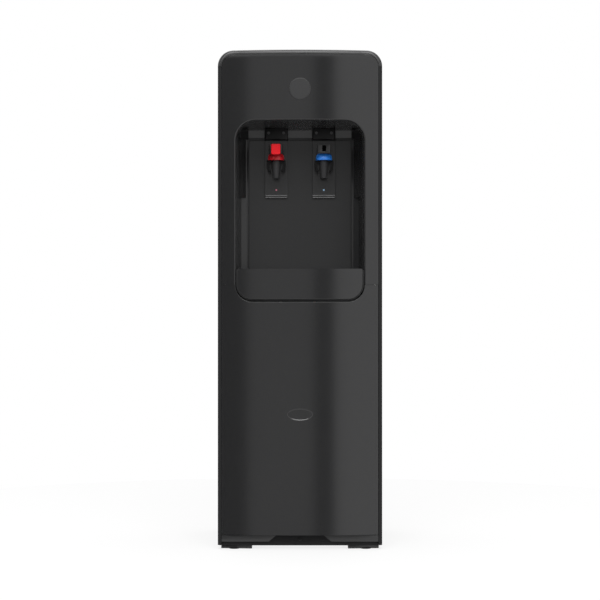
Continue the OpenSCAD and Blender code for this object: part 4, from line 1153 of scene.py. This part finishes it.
# ---- Tap hardware: shank nuts, lever pins and stems ----
# Plated hexagon nuts hold the taps from behind the bay. A pin in each bonnet's lugs carries the lever, which presses
# the stainless stem down to open the tap.
nut_plate = bare_metal("plated_nut", (0.55, 0.55, 0.54), (0.68, 0.68, 0.66), 500, 0.24)
stem_steel = bare_metal("stem_stainless", (0.50, 0.50, 0.50), (0.64, 0.64, 0.63), 500, 0.2, stretch=(1, 1, 10))
eased("tap_nuts", "tap_shank_nuts", nut_plate, 0.0005)
eased("lever_pins", "lever_hinge_pins", stem_steel, 0.0002)
eased("hot_stem", "hot_tap_stem", stem_steel, 0.0004, "hot_stem")
eased("cold_stem", "cold_tap_stem", stem_steel, 0.0004, "cold_stem")


# ---- Tray front: the bowed face of the slide-out drip tray ----
# Moulded with the panels and fixed to the tray, flush with the lower panel, with an even groove round it.
tray_half = 0.1221
tray_face_low = 0.4882
tray_face_top = 0.5475
tray_face_corner = 0.0291
tray_face_depth = 0.0035
tray_face = blank("tray_face", along_bow(tray_half), tray_face_low, tray_face_top, front)
round_corners(tray_face_corner, 14, lambda p: p.z < 0.49)
round_corners(0.0015, 3, lambda p: p.z > tray_face_top - hair)
press_back(tray_face_depth)
pick("EDGE", lambda p, d: p.y < front + hair and abs(d.y) < 0.1 and p.z < tray_face_top - hair)
bevel(0.0012, 4)
bow_out(tray_face, along_bow(tray_half))
set_down(tray_face, fascia_plastic, "drip_tray", "tray_front")
even_light(tray_face)

# A flange behind the face closes the groove round it. Its grey, darker and more matt than the face's, is partly painted
# shade for the groove.
flange_half = 0.1246
flange_low = 0.486
flange_top = 0.5455
flange_back = 0.0025
groove_shade_plastic = coat("tray_flange_painted_shade", grey(33), grey(37), 500, 0.6, bump=0.03, specular=0.2)
flange = blank("tray_flange", along_bow(flange_half), flange_low, flange_top, front + flange_back)
round_corners(tray_face_corner + flange_half - tray_half, 14, lambda p: p.z < 0.49)
press_back(0.002)
bow_out(flange, along_bow(flange_half))
set_down(flange, groove_shade_plastic, "drip_tray")


# ---- Drip tray and its lift-out grille ----
# The tray is a deep moulded tub behind the bowed face and slides out with it. A flat slotted grille, cut to the same
# bow, drops inside its rim.
tub_plastic = coat("tray_tub_abs", grey(28), grey(32), 500, 0.36, bump=0.03, specular=0.4)
grille_plastic = coat("grille_abs", grey(38), grey(43), 600, 0.3, bump=0.04)
eased("drip_tray", "tray_tub", tub_plastic, 0.0006, "drip_tray")
eased("drip_grille", "slotted_grille", grille_plastic, 0.0006, "drip_grille")


# ---- Bounds of the finished model ----
low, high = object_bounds()
